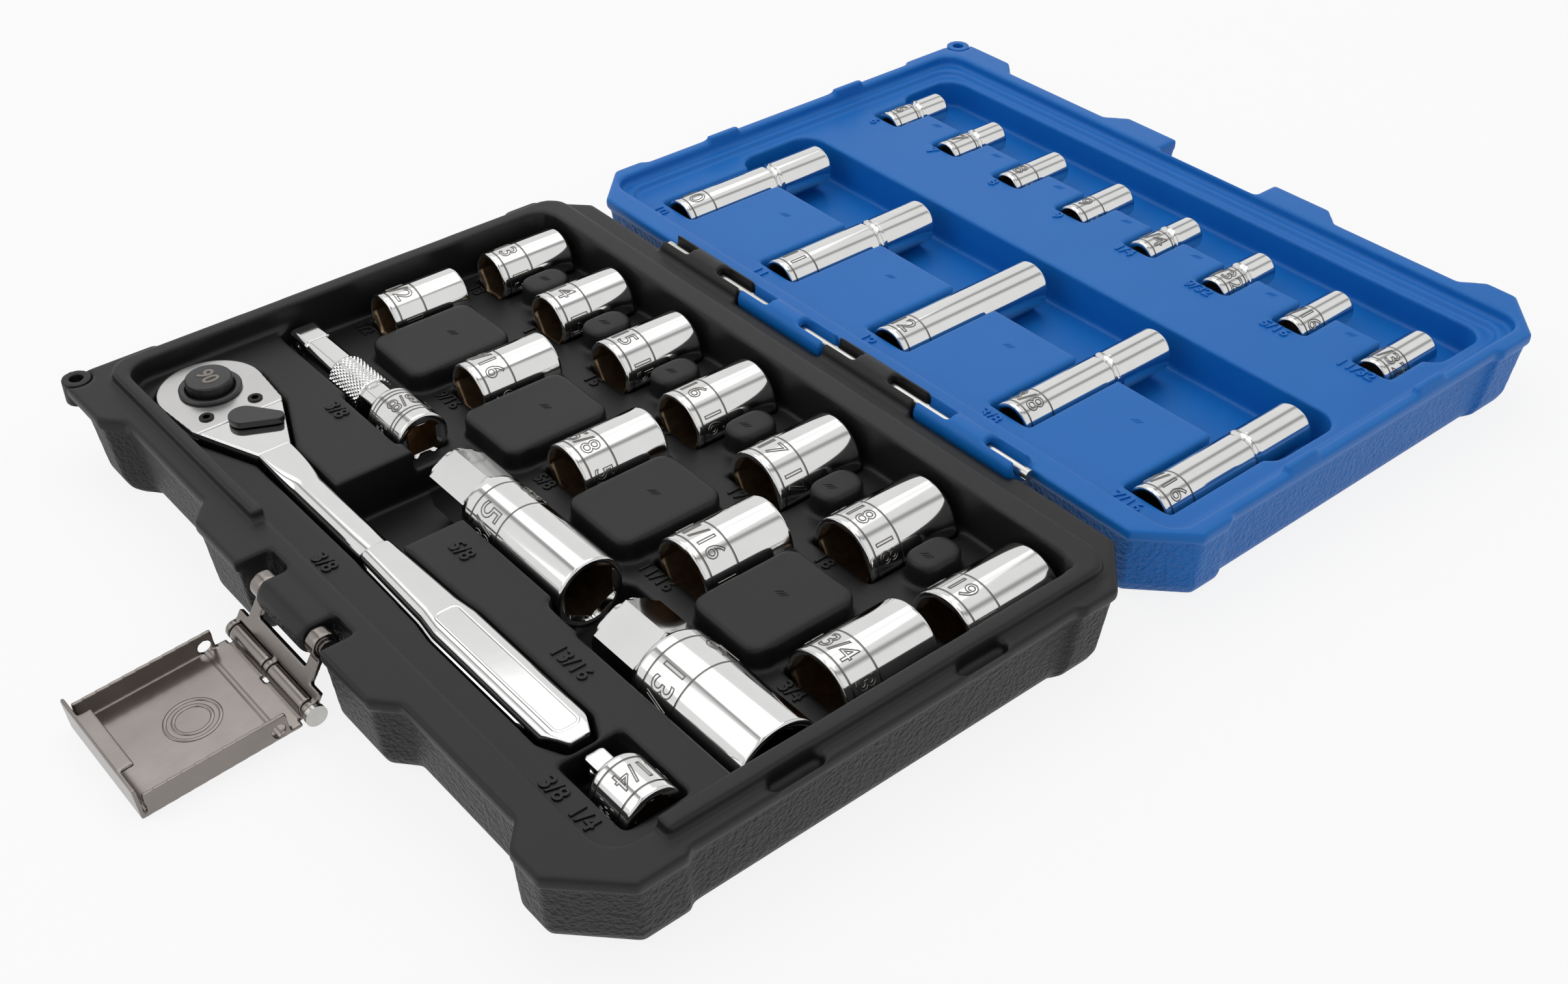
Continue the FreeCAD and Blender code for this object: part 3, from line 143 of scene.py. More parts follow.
BLACK_SATIN = moulded_plastic("polyethylene_black_satin", "#131314", "#19191a", 0.44, 1.2, 0.012)
BLACK_GRAIN = moulded_plastic("polyethylene_black_grained", "#161617", "#1e1e1f", 0.48, 1.5, 0.8)
BLUE_SATIN = moulded_plastic("polyethylene_blue_satin", "#0a6cc2", "#1073c9", 0.42, 1.2, 0.012)
BLUE_GRAIN = moulded_plastic("polyethylene_blue_grained", "#0a6cc4", "#1175cb", 0.46, 1.5, 0.8)
print("plastics", [m.name for m in bpy.data.materials if m.name.startswith("poly")])

# %% [markdown]
# The tools are drop-forged chrome-vanadium steel under bright chrome plate, which is a mirror with only a
# breath of haze. Inside the hexagons the plating is thin and oil darkens it to bronze. The latch is pressed
# from nickel-plated sheet, duller and warmer, with fine polishing lines. The hinge rod is zinc-plated wire.


# %% Metals
def plated_metal(name, colour, stained, roughness, spread, stain_mm, line_mm, line_depth_mm):
    """Plated steel: a noise stretched along Y draws polishing lines, and a coarse one stains the plate."""
    material, tree, shader, place = new_finish(name, Metallic=1.0, Roughness=roughness)
    stains = add(tree, "TexNoise", {"Vector": place, "Scale": 1 / (stain_mm * MM), "Detail": 5.0})
    shade = add(tree, "Mix", {0: stains.outputs[0], 6: from_hex(colour), 7: from_hex(stained)},
                data_type="RGBA")
    tree.links.new(shade.outputs[2], shader.inputs["Base Color"])
    drawn = add(tree, "Mapping", {"Vector": place, "Scale": (1.0, 0.08, 1.0)})
    lines = add(tree, "TexNoise", {"Vector": drawn.outputs[0], "Scale": 1 / (line_mm * MM), "Detail": 3.0})
    haze = add(tree, "MapRange", {"Value": lines.outputs[0], "To Min": roughness - spread,
                                  "To Max": roughness + spread})
    tree.links.new(haze.outputs[0], shader.inputs["Roughness"])
    bump = add(tree, "Bump", {"Height": lines.outputs[0], "Distance": line_depth_mm * MM, "Strength": 0.5})
    tree.links.new(bump.outputs[0], shader.inputs["Normal"])
    return material


CHROME = plated_metal("chrome_plate_bright", "#dddddc", "#d3d3d2", 0.09, 0.03, 9, 0.5, 0.0006)
SATIN_CHROME = plated_metal("chrome_plate_satin", "#cac9c8", "#bfbebd", 0.26, 0.03, 9, 0.4, 0.0006)
BRONZED = plated_metal("oiled_steel_bronze", "#b59c7e", "#6b5a49", 0.4, 0.08, 3, 0.6, 0.006)
NICKEL = plated_metal("nickel_plate_pressed", "#918b87", "#7b7571", 0.22, 0.05, 12, 0.5, 0.002)
# A darker, duller chrome: painted shade in the turned grooves and round the spring balls, and in the rolled
# outlines of numbers partly their dull texture, partly painted shade.
ROLLED_AND_SHADE = plated_metal("chrome_rolled_lines_and_painted_shade", "#85837f", "#6f6d6a", 0.3, 0.05, 5, 0.5, 0.001)
BLACK_OXIDE = plated_metal("black_oxide_steel", "#353433", "#232222", 0.34, 0.06, 4, 0.5, 0.003)
ZINC = plated_metal("zinc_plate_wire", "#c9c8c5", "#b3b1ae", 0.24, 0.06, 5, 0.5, 0.003)
print("metals", [m.name for m in (CHROME, SATIN_CHROME, BRONZED, NICKEL, ROLLED_AND_SHADE, BLACK_OXIDE, ZINC)])

# %% [markdown]
# The ring, the release button and the reversing lever of the ratchet are black moulded nylon, and the
# sleeves that grip a spark plug are soft black rubber. The white figure on the button is a plain number.


# %% Small plastics
def small_moulding(name, colour, worn, roughness, speck_mm):
    """Nylon or rubber: a fine noise varies colour and gloss and lifts a faint texture of the same size."""
    material, tree, shader, place = new_finish(name, Roughness=roughness, IOR=1.53)
    speck = add(tree, "TexNoise", {"Vector": place, "Scale": 1 / (speck_mm * MM), "Detail": 4.0})
    shade = add(tree, "Mix", {0: speck.outputs[0], 6: from_hex(colour), 7: from_hex(worn)}, data_type="RGBA")
    tree.links.new(shade.outputs[2], shader.inputs["Base Color"])
    bump = add(tree, "Bump", {"Height": speck.outputs[0], "Distance": 0.01 * MM, "Strength": 0.6})
    tree.links.new(bump.outputs[0], shader.inputs["Normal"])
    return material


NYLON = small_moulding("nylon_black", "#131313", "#1d1d1d", 0.34, 0.4)
RUBBER = small_moulding("rubber_black", "#0e0e0e", "#191919", 0.7, 0.6)
PRINT = small_moulding("print_grey", "#8f887f", "#7d766e", 0.5, 0.3)
print("small mouldings", NYLON.name, RUBBER.name)

# %% [markdown]
# The table is plain white and keeps the shadow of the case. The room is white for what the camera and the
# metal see, and a little darker for what lights the plastic, while two wide soft lamps give the direction.
# Soft dark seams between its white panels give the chrome something to mirror.

# %% Table, room and lamps
TABLE_GLOW, ROOM_ON_PLASTIC, ROOM_SEEN = 0.86, 0.6, 1.0


def seen_rays(tree):
    """One for rays from the camera, a mirror or glass, and zero for light that falls on a surface."""
    rays = add(tree, "LightPath").outputs
    seen = add(tree, "Math", {0: rays["Is Camera Ray"], 1: rays["Is Glossy Ray"]}, operation="MAXIMUM")
    seen = add(tree, "Math", {0: seen.outputs[0], 1: rays["Is Transmission Ray"]}, operation="MAXIMUM")
    return seen.outputs[0]


table_mesh = bpy.data.meshes.new("table")
table_mesh.from_pydata([(-4, -4, 0), (4, -4, 0), (4, 4, 0), (-4, 4, 0)], [], [(0, 1, 2, 3)])
table = bpy.data.objects.new("table", table_mesh)
bpy.context.scene.collection.objects.link(table)
white_paper = bpy.data.materials.new("white_paper")
white_paper.use_nodes = True
paper = white_paper.node_tree
paper_shader = paper.nodes["Principled BSDF"]
paper_shader.inputs["Base Color"].default_value = (0.9, 0.9, 0.9, 1)
paper_shader.inputs["Roughness"].default_value = 0.9
glow = add(paper, "Emission", {"Color": (1, 1, 1, 1), "Strength": 1.0})
share = add(paper, "Math", {0: seen_rays(paper), 1: TABLE_GLOW}, operation="MULTIPLY")
both = add(paper, "MixShader", {0: share.outputs[0], 1: paper_shader.outputs[0], 2: glow.outputs[0]})
paper.links.new(both.outputs[0], paper.nodes["Material Output"].inputs["Surface"])
table_mesh.materials.append(white_paper)

room = bpy.data.worlds.new("white_room")
room.use_nodes = True
bpy.context.scene.world = room
sky = room.node_tree
background = sky.nodes["Background"]
strength = add(sky, "MapRange", {"Value": seen_rays(sky), "To Min": ROOM_ON_PLASTIC, "To Max": ROOM_SEEN})
background.inputs["Color"].default_value = (1, 1, 1, 1)
look = add(sky, "SeparateXYZ", {"Vector": add(sky, "TexCoord").outputs["Generated"]})


def panel_seams(light, direction, places, half_width, dark):
    """White panels along one direction take from the light: it fades at each seam between two panels."""
    for place in places:
        off = add(sky, "Math", {0: direction, 1: place}, operation="SUBTRACT")
        near = add(sky, "Math", {0: off.outputs[0]}, operation="ABSOLUTE")
        seam = add(sky, "MapRange", {"Value": near.outputs[0], "From Max": half_width, "To Min": dark},
                   interpolation_type="SMOOTHSTEP")
        light = add(sky, "Math", {0: light, 1: seam.outputs[0]}, operation="MULTIPLY").outputs[0]
    return light


light = panel_seams(strength.outputs[0], look.outputs["X"], (-0.34, 0.3), 0.16, 0.4)
light = panel_seams(light, look.outputs["Y"], (-0.2,), 0.14, 0.4)
sky.links.new(light, background.inputs["Strength"])


def soft_lamp(name, place, aim, width, power):
    """A square soft lamp at a place in metres, turned so that it looks at aim."""
    lamp = bpy.data.objects.new(name, bpy.data.lights.new(name, "AREA"))
    lamp.data.size, lamp.data.energy = width, power
    lamp.location = place
    lamp.rotation_euler = (Vector(aim) - Vector(place)).to_track_quat("-Z", "Y").to_euler()
    bpy.context.scene.collection.objects.link(lamp)


soft_lamp("overhead", (-0.35, 0.25, 1.25), (0, 0.1, 0), 1.3, 5)
soft_lamp("front_left", (-0.5, -1.0, 0.9), (0, 0, 0), 0.9, 2.2)
bpy.context.scene.view_settings.view_transform = "Standard"

# %% [markdown]
# A piece is a list of surfaces. Each surface is a grid of points, worked out as whole arrays, with faces
# between neighbouring rows and columns, and one finish. This cell turns such grids into one mesh.


# %% Surfaces to pieces
def grid_faces(rows, columns, close_rows=False, close_columns=True):
    """Four-cornered faces of a grid, going round where a direction is closed."""
    down = np.arange(rows if close_rows else rows - 1)
    along = np.arange(columns if close_columns else columns - 1)
    i, j = (part.ravel() for part in np.meshgrid(down, along, indexing="ij"))
    below, beside = (i + 1) % rows, (j + 1) % columns
    return np.stack([i * columns + j, below * columns + j, below * columns + beside, i * columns + beside], 1)


def make_piece(name, body, surfaces, finishes, stands_for=(), sharp=32):
    """Join surfaces, each (points in mm, faces, finish number), into one smooth piece riding on a body."""
    points = np.concatenate([np.reshape(surface[0], (-1, 3)) for surface in surfaces]) * MM
    starts = np.cumsum([0] + [np.reshape(surface[0], (-1, 3)).shape[0] for surface in surfaces])
    faces = [(np.asarray(face) + start).tolist()
             for surface, start in zip(surfaces, starts) for face in surface[1]]
    numbers = np.concatenate([np.full(len(surface[1]), surface[2]) if np.isscalar(surface[2])
                              else surface[2] for surface in surfaces])
    mesh = bpy.data.meshes.new(name)
    mesh.from_pydata(points.tolist(), [], faces)
    for finish in finishes:
        mesh.materials.append(finish)
    mesh.polygons.foreach_set("material_index", numbers.astype(np.int32))
    finish_mesh(mesh, sharp)
    piece = bpy.data.objects.new(name, mesh)
    bpy.context.scene.collection.objects.link(piece)
    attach(piece, body)
    if stands_for:
        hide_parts(*stands_for)
    return piece


def finish_mesh(mesh, sharp):
    """Point the faces outwards, smooth them, and keep edges sharper than an angle in degrees."""
    work = bmesh.new()
    work.from_mesh(mesh)
    bmesh.ops.remove_doubles(work, verts=work.verts, dist=1e-7)
    bmesh.ops.recalc_face_normals(work, faces=work.faces)
    work.to_mesh(mesh)
    work.free()
    mesh.polygons.foreach_set("use_smooth", np.ones(len(mesh.polygons), bool))
    mesh.set_sharp_from_angle(angle=math.radians(sharp))


def corner_radius(turn, across_flats, sides, shift=0.0):
    """Distance from the middle of a regular bar to its side: half the flats over the cosine from the flat."""
    step = 2 * math.pi / sides
    off = np.mod(turn - shift + step / 2, step) - step / 2
    return across_flats / 2 / np.cos(off)


# %% [markdown]
# Blow-moulding and forging leave no sharp edge: the wall of the case stretches over the mould and rounds
# itself off, and a forged handle is tumbled before it is plated. The solids of the frame are exact but sharp.
# A copy of one is merged, rebuilt from small cubes, and relaxed a few times, so that every edge rolls over
# by about the size of the cubes while flat faces stay flat. Then it is thinned where it is flat.


# %% Softened copies
def skins(count, edges):
    """Number the separate skins of a mesh: each point takes the lowest number it can reach along edges."""
    label = np.arange(count)
    while True:
        lowest = label.copy()
        np.minimum.at(lowest, edges[:, 0], label[edges[:, 1]])
        np.minimum.at(lowest, edges[:, 1], label[edges[:, 0]])
        lowest = lowest[lowest]
        if (lowest == label).all():
            return label
        label = lowest


def read(collection, word, kind, width):
    """One attribute of all points, edges or faces as an array with so many columns."""
    values = np.empty(len(collection) * width, kind)
    collection.foreach_get(word, values)
    return values.reshape(-1, width)


def merged_copy(node):
    """The outer skins of a node with its loose triangles joined; a sealed air space has a negative volume."""
    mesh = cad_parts[node].data.copy()
    work = bmesh.new()
    work.from_mesh(mesh)
    bmesh.ops.remove_doubles(work, verts=work.verts, dist=2e-6)
    bmesh.ops.triangulate(work, faces=work.faces)
    work.to_mesh(mesh)
    work.free()
    points = read(mesh.vertices, "co", float, 3)
    corners = read(mesh.polygons, "vertices", np.int32, 3)
    label = skins(len(points), read(mesh.edges, "vertices", np.int32, 2))
    first, second, third = (points[corners[:, corner]] for corner in range(3))
    volume = np.einsum("ij,ij->i", first, np.cross(second, third))
    total = np.bincount(label[corners[:, 0]], volume, len(points))
    keep = corners[total[label[corners[:, 0]]] > 0]
    mesh.clear_geometry()
    mesh.from_pydata(points.tolist(), [], keep.tolist())
    return mesh


def through_modifier(mesh, kind, **settings):
    """The mesh as it comes out of one modifier."""
    carrier = bpy.data.objects.new("carrier", mesh)
    bpy.context.scene.collection.objects.link(carrier)
    modifier = carrier.modifiers.new(kind, kind)
    for name, value in settings.items():
        setattr(modifier, name, value)
    result = bpy.data.meshes.new_from_object(carrier.evaluated_get(bpy.context.evaluated_depsgraph_get()))
    bpy.data.objects.remove(carrier)
    return result


def relaxed(mesh, passes):
    """Move every point half way to the mean of its neighbours, a number of times."""
    points = read(mesh.vertices, "co", float, 3)
    ends = read(mesh.edges, "vertices", np.int32, 2)
    count = len(points)
    degree = np.bincount(ends.ravel(), minlength=count)[:, None]
    for _ in range(passes):
        total = np.stack([np.bincount(ends[:, 0], points[ends[:, 1], axis], count)
                          + np.bincount(ends[:, 1], points[ends[:, 0], axis], count) for axis in range(3)], 1)
        points += 0.5 * (total / degree - points)
    mesh.vertices.foreach_set("co", points.ravel())
    mesh.update()
    return mesh


def shade_by_area(mesh):
    """Smooth normals in which a large face counts for more, so that flats next to a rolled edge stay flat."""
    points = read(mesh.vertices, "co", float, 3)
    corners = read(mesh.polygons, "vertices", np.int32, 3)
    first, second, third = (points[corners[:, corner]] for corner in range(3))
    cross = np.cross(second - first, third - first)
    normal = np.stack([np.bincount(corners.ravel(), np.repeat(cross[:, axis], 3), len(points))
                       for axis in range(3)], 1)
    normal /= np.linalg.norm(normal, axis=1, keepdims=True) + 1e-20
    mesh.polygons.foreach_set("use_smooth", np.ones(len(mesh.polygons), bool))
    mesh.normals_split_custom_set_from_vertices(normal.tolist())


def softened(node, body, name, finishes, cube_mm, passes, triangles, outside=None):
    """A softened copy of a node; faces whose middle and normal pass a test take the second finish."""
    cubes = through_modifier(merged_copy(node), "REMESH", mode="VOXEL", voxel_size=cube_mm * MM)
    mesh = through_modifier(relaxed(cubes, passes), "TRIANGULATE")
    share = triangles / len(mesh.polygons)
    if share < 1:
        mesh = through_modifier(mesh, "DECIMATE", ratio=share, use_collapse_triangulate=True)
    mesh.materials.clear()
    for finish in finishes:
        mesh.materials.append(finish)
    if outside:
        middles, normals = (read(mesh.polygons, word, float, 3) for word in ("center", "normal"))
        mesh.polygons.foreach_set("material_index", outside(middles / MM, normals).astype(np.int32))
    shade_by_area(mesh)
    mesh.name = name
    piece = bpy.data.objects.new(name, mesh)
    bpy.context.scene.collection.objects.link(piece)
    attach(piece, body)
    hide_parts(node)
    print(name, "triangles", len(mesh.polygons))
    return piece


# %% [markdown]
# The two halves of the case are each one blown wall, folded into a tray. Outside, below the smooth band of
# the rim, the mould is grained.

# %% Case shells
BAND_FOOT, WALL_REACH, FOOT_TOP = 23.7, 16.0, 6.0


def outer_wall_of(node):
    """A test for faces below the rim band that look outwards near a side of a shell, or down at the table."""
    low, high = np.array(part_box(node)) / MM
    middle, half = (low + high) / 2, (high - low) / 2

    def test(centre, normal):
        outwards = ((centre - middle) * np.sign(normal) > half - WALL_REACH) & (np.abs(normal) > 0.3)
        side = outwards[:, :2].any(1) & (centre[:, 2] < BAND_FOOT)
        return side | (normal[:, 2] < -0.5) & (centre[:, 2] < FOOT_TOP)
    return test


softened("base_shell", "base", "case_base", [BLACK_SATIN, BLACK_GRAIN], 0.6, 9, 190000,
         outer_wall_of("base_shell"))
softened("lid_shell", "lid", "case_lid", [BLUE_SATIN, BLUE_GRAIN], 0.6, 9, 190000,
         outer_wall_of("lid_shell"))

# %% [markdown]
# Most tools are turned from round bar, so their skins are grids too: a ring of points at each station along
# the axis, whose radius depends on the turn where the section is a hexagon or a square.


# %% Turned skins
TURNS = np.linspace(0, 2 * math.pi, 96, endpoint=False)
SIDES = {"hexagon": (6, math.radians(30)), "upright_hexagon": (6, 0.0), "square": (4, 0.0)}


def ring_radius(section, size, limit=math.inf):
    """Radius at every turn of a round, six-sided or four-sided section, cut off at a round limit."""
    if section == "round":
        return np.full_like(TURNS, size / 2)
    return np.minimum(corner_radius(TURNS, size, *SIDES[section]), limit / 2)


def supported_rows(along):
    """Row numbers with a fraction that also put a ring close to both ends of each long run of a profile."""
    step = np.abs(np.diff(along))
    share = np.where(step > 1, 0.25 / np.maximum(step, 0.25), 0)
    long = np.flatnonzero(share)
    return np.sort(np.concatenate([np.arange(len(along)), long + share[long], long + 1 - share[long]]))


def turned_skin(stations, middle, start, axis, ring=True):
    """A skin round an axis: each station (section, size, place, finish, limit) is a ring of points there.
    A ring of stations is closed on itself; otherwise the first and the last close to a point."""
    radius = np.array([ring_radius(*station[:2], *station[4:]) for station in stations])
    along = np.array([station[2] for station in stations])
    rows = supported_rows(along)
    first, part = np.floor(rows).astype(int), np.mod(rows, 1)[:, None]
    after = np.minimum(first + 1, len(along) - 1)
    radius = radius[first] * (1 - part) + radius[after] * part
    along = along[first][:, None] * (1 - part) + along[after][:, None] * part + np.zeros_like(radius)
    wide, high = radius * np.cos(TURNS), radius * np.sin(TURNS)
    parts = {"x": (along, wide, high), "y": (wide, along, high), "z": (wide, high, along)}[axis]
    places = {"x": (start, *middle), "y": (middle[0], start, middle[1]), "z": (*middle, start)}[axis]
    points = np.stack([part + place for part, place in zip(parts, places)], -1)
    finish = np.array([station[3] for station in stations])[first[:len(first) if ring else -1]]
    return points, grid_faces(len(rows), len(TURNS), close_rows=ring), np.repeat(finish, len(TURNS))


def ends_of(node):
    """The two corners of a node's box in millimetres."""
    low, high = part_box(node)
    return np.array(low) / MM, np.array(high) / MM


# %% [markdown]
# Numbers are raised from the mould on the trays, and rolled into the barrels as thin outlines. Each starts
# as plain type, becomes a mesh lying flat with its middle at the origin, and is then set in its place. On a
# barrel the width of the type runs round the axis: its distance from the middle over the radius is the turn.


# %% Numbers
LINE_MM = 0.16


def type_mesh(words, tall, thick, outline=0.0):
    """Points in millimetres and faces of type of a height, raised by a thickness or as a thin outline."""
    curve = bpy.data.curves.new("type", "FONT")
    curve.body, curve.size, curve.resolution_u = words, 1.0, 4
    if outline:
        curve.fill_mode, curve.bevel_depth, curve.bevel_resolution = "NONE", outline / tall, 1
    else:
        curve.extrude, curve.bevel_depth = thick / tall, 0.02
    setting = bpy.data.objects.new("type", curve)
    bpy.context.scene.collection.objects.link(setting)
    mesh = bpy.data.meshes.new_from_object(setting.evaluated_get(bpy.context.evaluated_depsgraph_get()))
    bpy.data.objects.remove(setting)
    work = bmesh.new()
    work.from_mesh(mesh)
    bmesh.ops.remove_doubles(work, verts=work.verts, dist=1e-5)
    bmesh.ops.subdivide_edges(work, edges=[edge for edge in work.edges if edge.calc_length() > 0.12], cuts=2)
    work.to_mesh(mesh)
    work.free()
    points = read(mesh.vertices, "co", float, 3)
    middle = (points.min(0) + points.max(0)) / 2
    scale = tall / (points.max(0) - points.min(0))[1]
    points = (points - middle * (1, 1, 0)) * scale
    return points, [list(face.vertices) for face in mesh.polygons]


def rolled(flat, middle, radius, place, axis):
    """Type laid round a barrel: its width becomes a turn from the top and its height runs along the axis."""
    turn, out = flat[:, 0] / radius, radius + flat[:, 2]
    aside, rise, along = out * np.sin(turn), middle[1] + out * np.cos(turn), place + flat[:, 1]
    if axis == "y":
        return np.stack([middle[0] + aside, along, rise], 1)
    return np.stack([along, middle[0] - aside, rise], 1)


def rolled_number(words, tall, middle, radius, place, axis):
    """A number in outline, half sunk in the plate of a barrel, in the third finish: dull rolled lines with
    painted shade in them.
    """
    points, faces = type_mesh(words, tall, 0, outline=LINE_MM)
    return rolled(points, middle, radius, place, axis), faces, 2


print("digits", len(type_mesh("15", 6, 0, outline=LINE_MM)[0]))

# %% [markdown]
# A socket is turned from bar: a chromed barrel with a bright chamfer at each end and two fine rings that
# frame the band where its size is rolled in. Its hexagon runs in from one end and the square drive from the
# other. The whole skin is one grid: a profile carried round the axis, whose radius depends on the turn
# where the section is a hexagon or a square.


# %% Sockets
DRIVE, DRIVE_RECESS, RECESS_DEPTH = 9.53, 9.73, 11
SMALL_DRIVE, SMALL_RECESS, SMALL_DEPTH = 6.35, 6.55, 8.5
CORNER_OVER_FLATS = 2 / math.sqrt(3)


def size_of(node):
    """The size in a socket's name, in millimetres, and as it is written: 13 or a fraction such as 5/8."""
    word = node.split("socket_")[1]
    if word.endswith("mm"):
        return float(word[:-2]), word[:-2]
    over, under = word[:-2].split("_")
    return 25.4 * float(over) / float(under), f"{over}/{under}"


def groove(outer, place):
    """Four stations of a fine turned ring, whose walls and floor take the third finish: painted shade in the
    groove.
    """
    return [("round", outer, place - 0.35, 2), ("round", outer - 0.4, place - 0.2, 2),
            ("round", outer - 0.4, place + 0.2, 2), ("round", outer, place + 0.35, 0)]


def eased_end(outer, place, inwards):
    """Stations of a rounded outer rim at an end, in order along the axis."""
    steps = [(1.5, 0.0), (0.7, 0.12), (0.2, 0.4), (0.0, 0.9)]
    return [("round", outer - cut, place + inwards * step, 0) for cut, step in steps][::inwards]


def barrel(outer, length, rings, neck=None):
    """The outside of a socket from the hexagon end: eased rim, ring grooves, an optional hollow neck."""
    stations = eased_end(outer, 0, 1)
    for ring in rings:
        stations += groove(outer, ring)
    if neck:
        place, half, depth = neck
        stations += [("round", outer - 2 * depth * (1 - (step / half) ** 2), place + step, 0)
                     for step in np.linspace(-half, half, 9)]
    return stations + eased_end(outer, length, -1)


NECKED = {f"deep_socket_{size}": 0.63 for size in ("10mm", "11mm", "3_8in", "7_16in")}
NECKED.update({f"small_socket_{size}": 0.52 for size in ("6mm", "7mm", "1_4in", "9_32in")})


def socket(node):
    """One socket lying along Y, with its hexagon towards the front and its size rolled in three times."""
    low, high = ends_of(node)
    outer, length = high[0] - low[0], high[1] - low[1]
    middle = ((low[0] + high[0]) / 2, (low[2] + high[2]) / 2)
    flats, label = size_of(node)
    is_small = node.startswith("small")
    square, depth = (SMALL_RECESS, SMALL_DEPTH) if is_small else (DRIVE_RECESS, RECESS_DEPTH)
    neck = (NECKED[node] * length, 2.0, 1.05) if node in NECKED else None
    first = 2.4
    second = first + (9.4 if length > 30 else 0.33 * length)
    stations = barrel(outer, length, (first, second), neck)
    stations += [("round", square * 1.32, length, 0), ("square", square, length - 0.9, 1),
                 ("square", square, length - depth, 1), ("hexagon", flats, length - depth, 1),
                 ("hexagon", flats, 1.5, 1), ("hexagon", flats + 0.4, 0.9, 1),
                 ("round", min(flats * CORNER_OVER_FLATS + 0.6, outer - 1.9), 0.25, 0)]
    skin = turned_skin(stations, middle, low[1], "y")
    tall, band = 0.7 * (second - first), low[1] + (first + second) / 2
    number = rolled_number("  ".join([label] * 3), tall, middle, outer / 2, band, "y")
    return make_piece("turned_" + node, node, [skin, number], [CHROME, BRONZED, ROLLED_AND_SHADE], [node])


plain_sockets = [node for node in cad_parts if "socket_" in node and "spark" not in node]
for node in sorted(plain_sockets):
    socket(node)
print("sockets", len(plain_sockets))

# %% [markdown]
# The extension bar has a male square with its corners broken, a slim shank with flats, a band of diamond
# knurling to spin it by, a shoulder and a collar with the square recess. The knurl is cut by two sets of
# crossing helical grooves, so its height is the lower of two triangle waves that run opposite ways. A fine
# ring in the darker chrome, painted shade, shows where each spring ball sits in its flat.


# %% Extension bar and adapter
def triangle_wave(phase):
    """Zero at whole numbers and one half way between them."""
    return 1 - np.abs(2 * np.mod(phase, 1) - 1)


def knurl_band(middle, start, length, outer, depth, across, pitch):
    """A closed sleeve along X, standing up in diamonds: the lower of two opposite triangle waves."""
    turn = np.linspace(0, 2 * math.pi, 8 * across, endpoint=False)
    along = np.linspace(0, length, int(8 * length / pitch) + 1)
    phase, run = across * turn / (2 * math.pi), along[:, None] / pitch
    height = np.minimum(triangle_wave(phase + run), triangle_wave(phase - run))
    fade = np.clip(np.minimum(along, length - along) / 0.8, 0, 1)[:, None]
    radius = outer / 2 - depth * (1 - height * fade)
    inside = np.full_like(radius[:1], outer / 2 - 2)
    radius = np.concatenate([inside, radius, inside])
    along = np.concatenate([along[:1], along, along[-1:]])[:, None] + np.zeros_like(radius)
    wide, high = radius * np.cos(turn), radius * np.sin(turn)
    points = np.stack([start + along, middle[0] + wide, middle[1] + high], -1)
    return points, grid_faces(*radius.shape, close_rows=True), 0


def male_square(side, length):
    """A square drive from its tip: a small lead-in, corners broken, and a fine shoulder line at its root."""
    broken = 1.28 * side
    return [("round", 0, 0, 0), ("square", 0.8 * side, 0, 0, 0.98 * side),
            ("square", 0.93 * side, 0.4, 0, 1.15 * side), ("square", side, 1.2, 0, broken),
            ("square", side, length - 0.6, 0, broken), ("square", 0.95 * side, length - 0.3, 0, 1.2 * side)]


def recess(side, length, depth, outer):
    """The square recess in the far end of a collar, down to its floor."""
    return [("round", min(side * 1.36, outer - 2), length, 0), ("square", side, length - 0.9, 1),
            ("square", side, length - depth, 1), ("round", 0, length - depth, 1)]


def lying_bar(node):
    """The left end, the axis (y, z), the length and the outside diameter of a tool that lies along X."""
    low, high = ends_of(node)
    return low[0], ((low[1] + high[1]) / 2, (low[2] + high[2]) / 2), high[0] - low[0], high[2] - low[2]


KNURL_FROM, KNURL_TO, BALL_PROUD = 28, 46, 0.7
bar_start, middle, bar_length, collar = lying_bar("extension_bar")
flat, shaft = ("square", 9.7), 11
stations = male_square(DRIVE, 11)
stations += [(*flat, 11.3, 0, shaft), (*flat, KNURL_FROM - 0.6, 0, shaft), ("round", shaft, KNURL_FROM, 0),
             ("round", shaft, KNURL_TO, 0), (*flat, KNURL_TO + 0.6, 0, shaft), (*flat, 54, 0, shaft),
             ("round", shaft, 54.5, 0), ("round", 14.6, 55.2, 0), ("round", collar - 0.9, 56, 0),
             ("round", collar, 57, 0)]
stations += groove(collar, 58.4) + groove(collar, 60) + groove(collar, 69) + groove(collar, 70.6)
stations += eased_end(collar, bar_length, -1)
stations += recess(DRIVE_RECESS, bar_length, RECESS_DEPTH, collar)
make_piece("forged_extension_bar", "extension", [
    turned_skin(stations, middle, bar_start, "x", ring=False),
    knurl_band(middle, bar_start + KNURL_FROM, KNURL_TO - KNURL_FROM, 13.4, 0.55, 30, 2.1),
    rolled_number("3/8  3/8  3/8", 6, middle, collar / 2, bar_start + 64.5, "x"),
], [CHROME, BRONZED, ROLLED_AND_SHADE], ["extension_bar"])

start, middle, length, collar = lying_bar("adapter")
stations = male_square(SMALL_DRIVE, 8.5)
stations += [("round", 9.6, 8.5, 0), ("round", collar - 2.4, 9.1, 0), ("round", collar - 0.5, 10, 0),
             ("round", collar, 10.8, 0)]
stations += groove(collar, 12.4) + groove(collar, 22.4) + eased_end(collar, length, -1)
stations += recess(DRIVE_RECESS, length, RECESS_DEPTH, collar)
make_piece("forged_adapter", "adapter", [
    turned_skin(stations, middle, start, "x", ring=False),
    rolled_number("3/8  1/4  3/8", 6.2, middle, collar / 2, start + 17.4, "x"),
], [CHROME, BRONZED, ROLLED_AND_SHADE], ["adapter"])

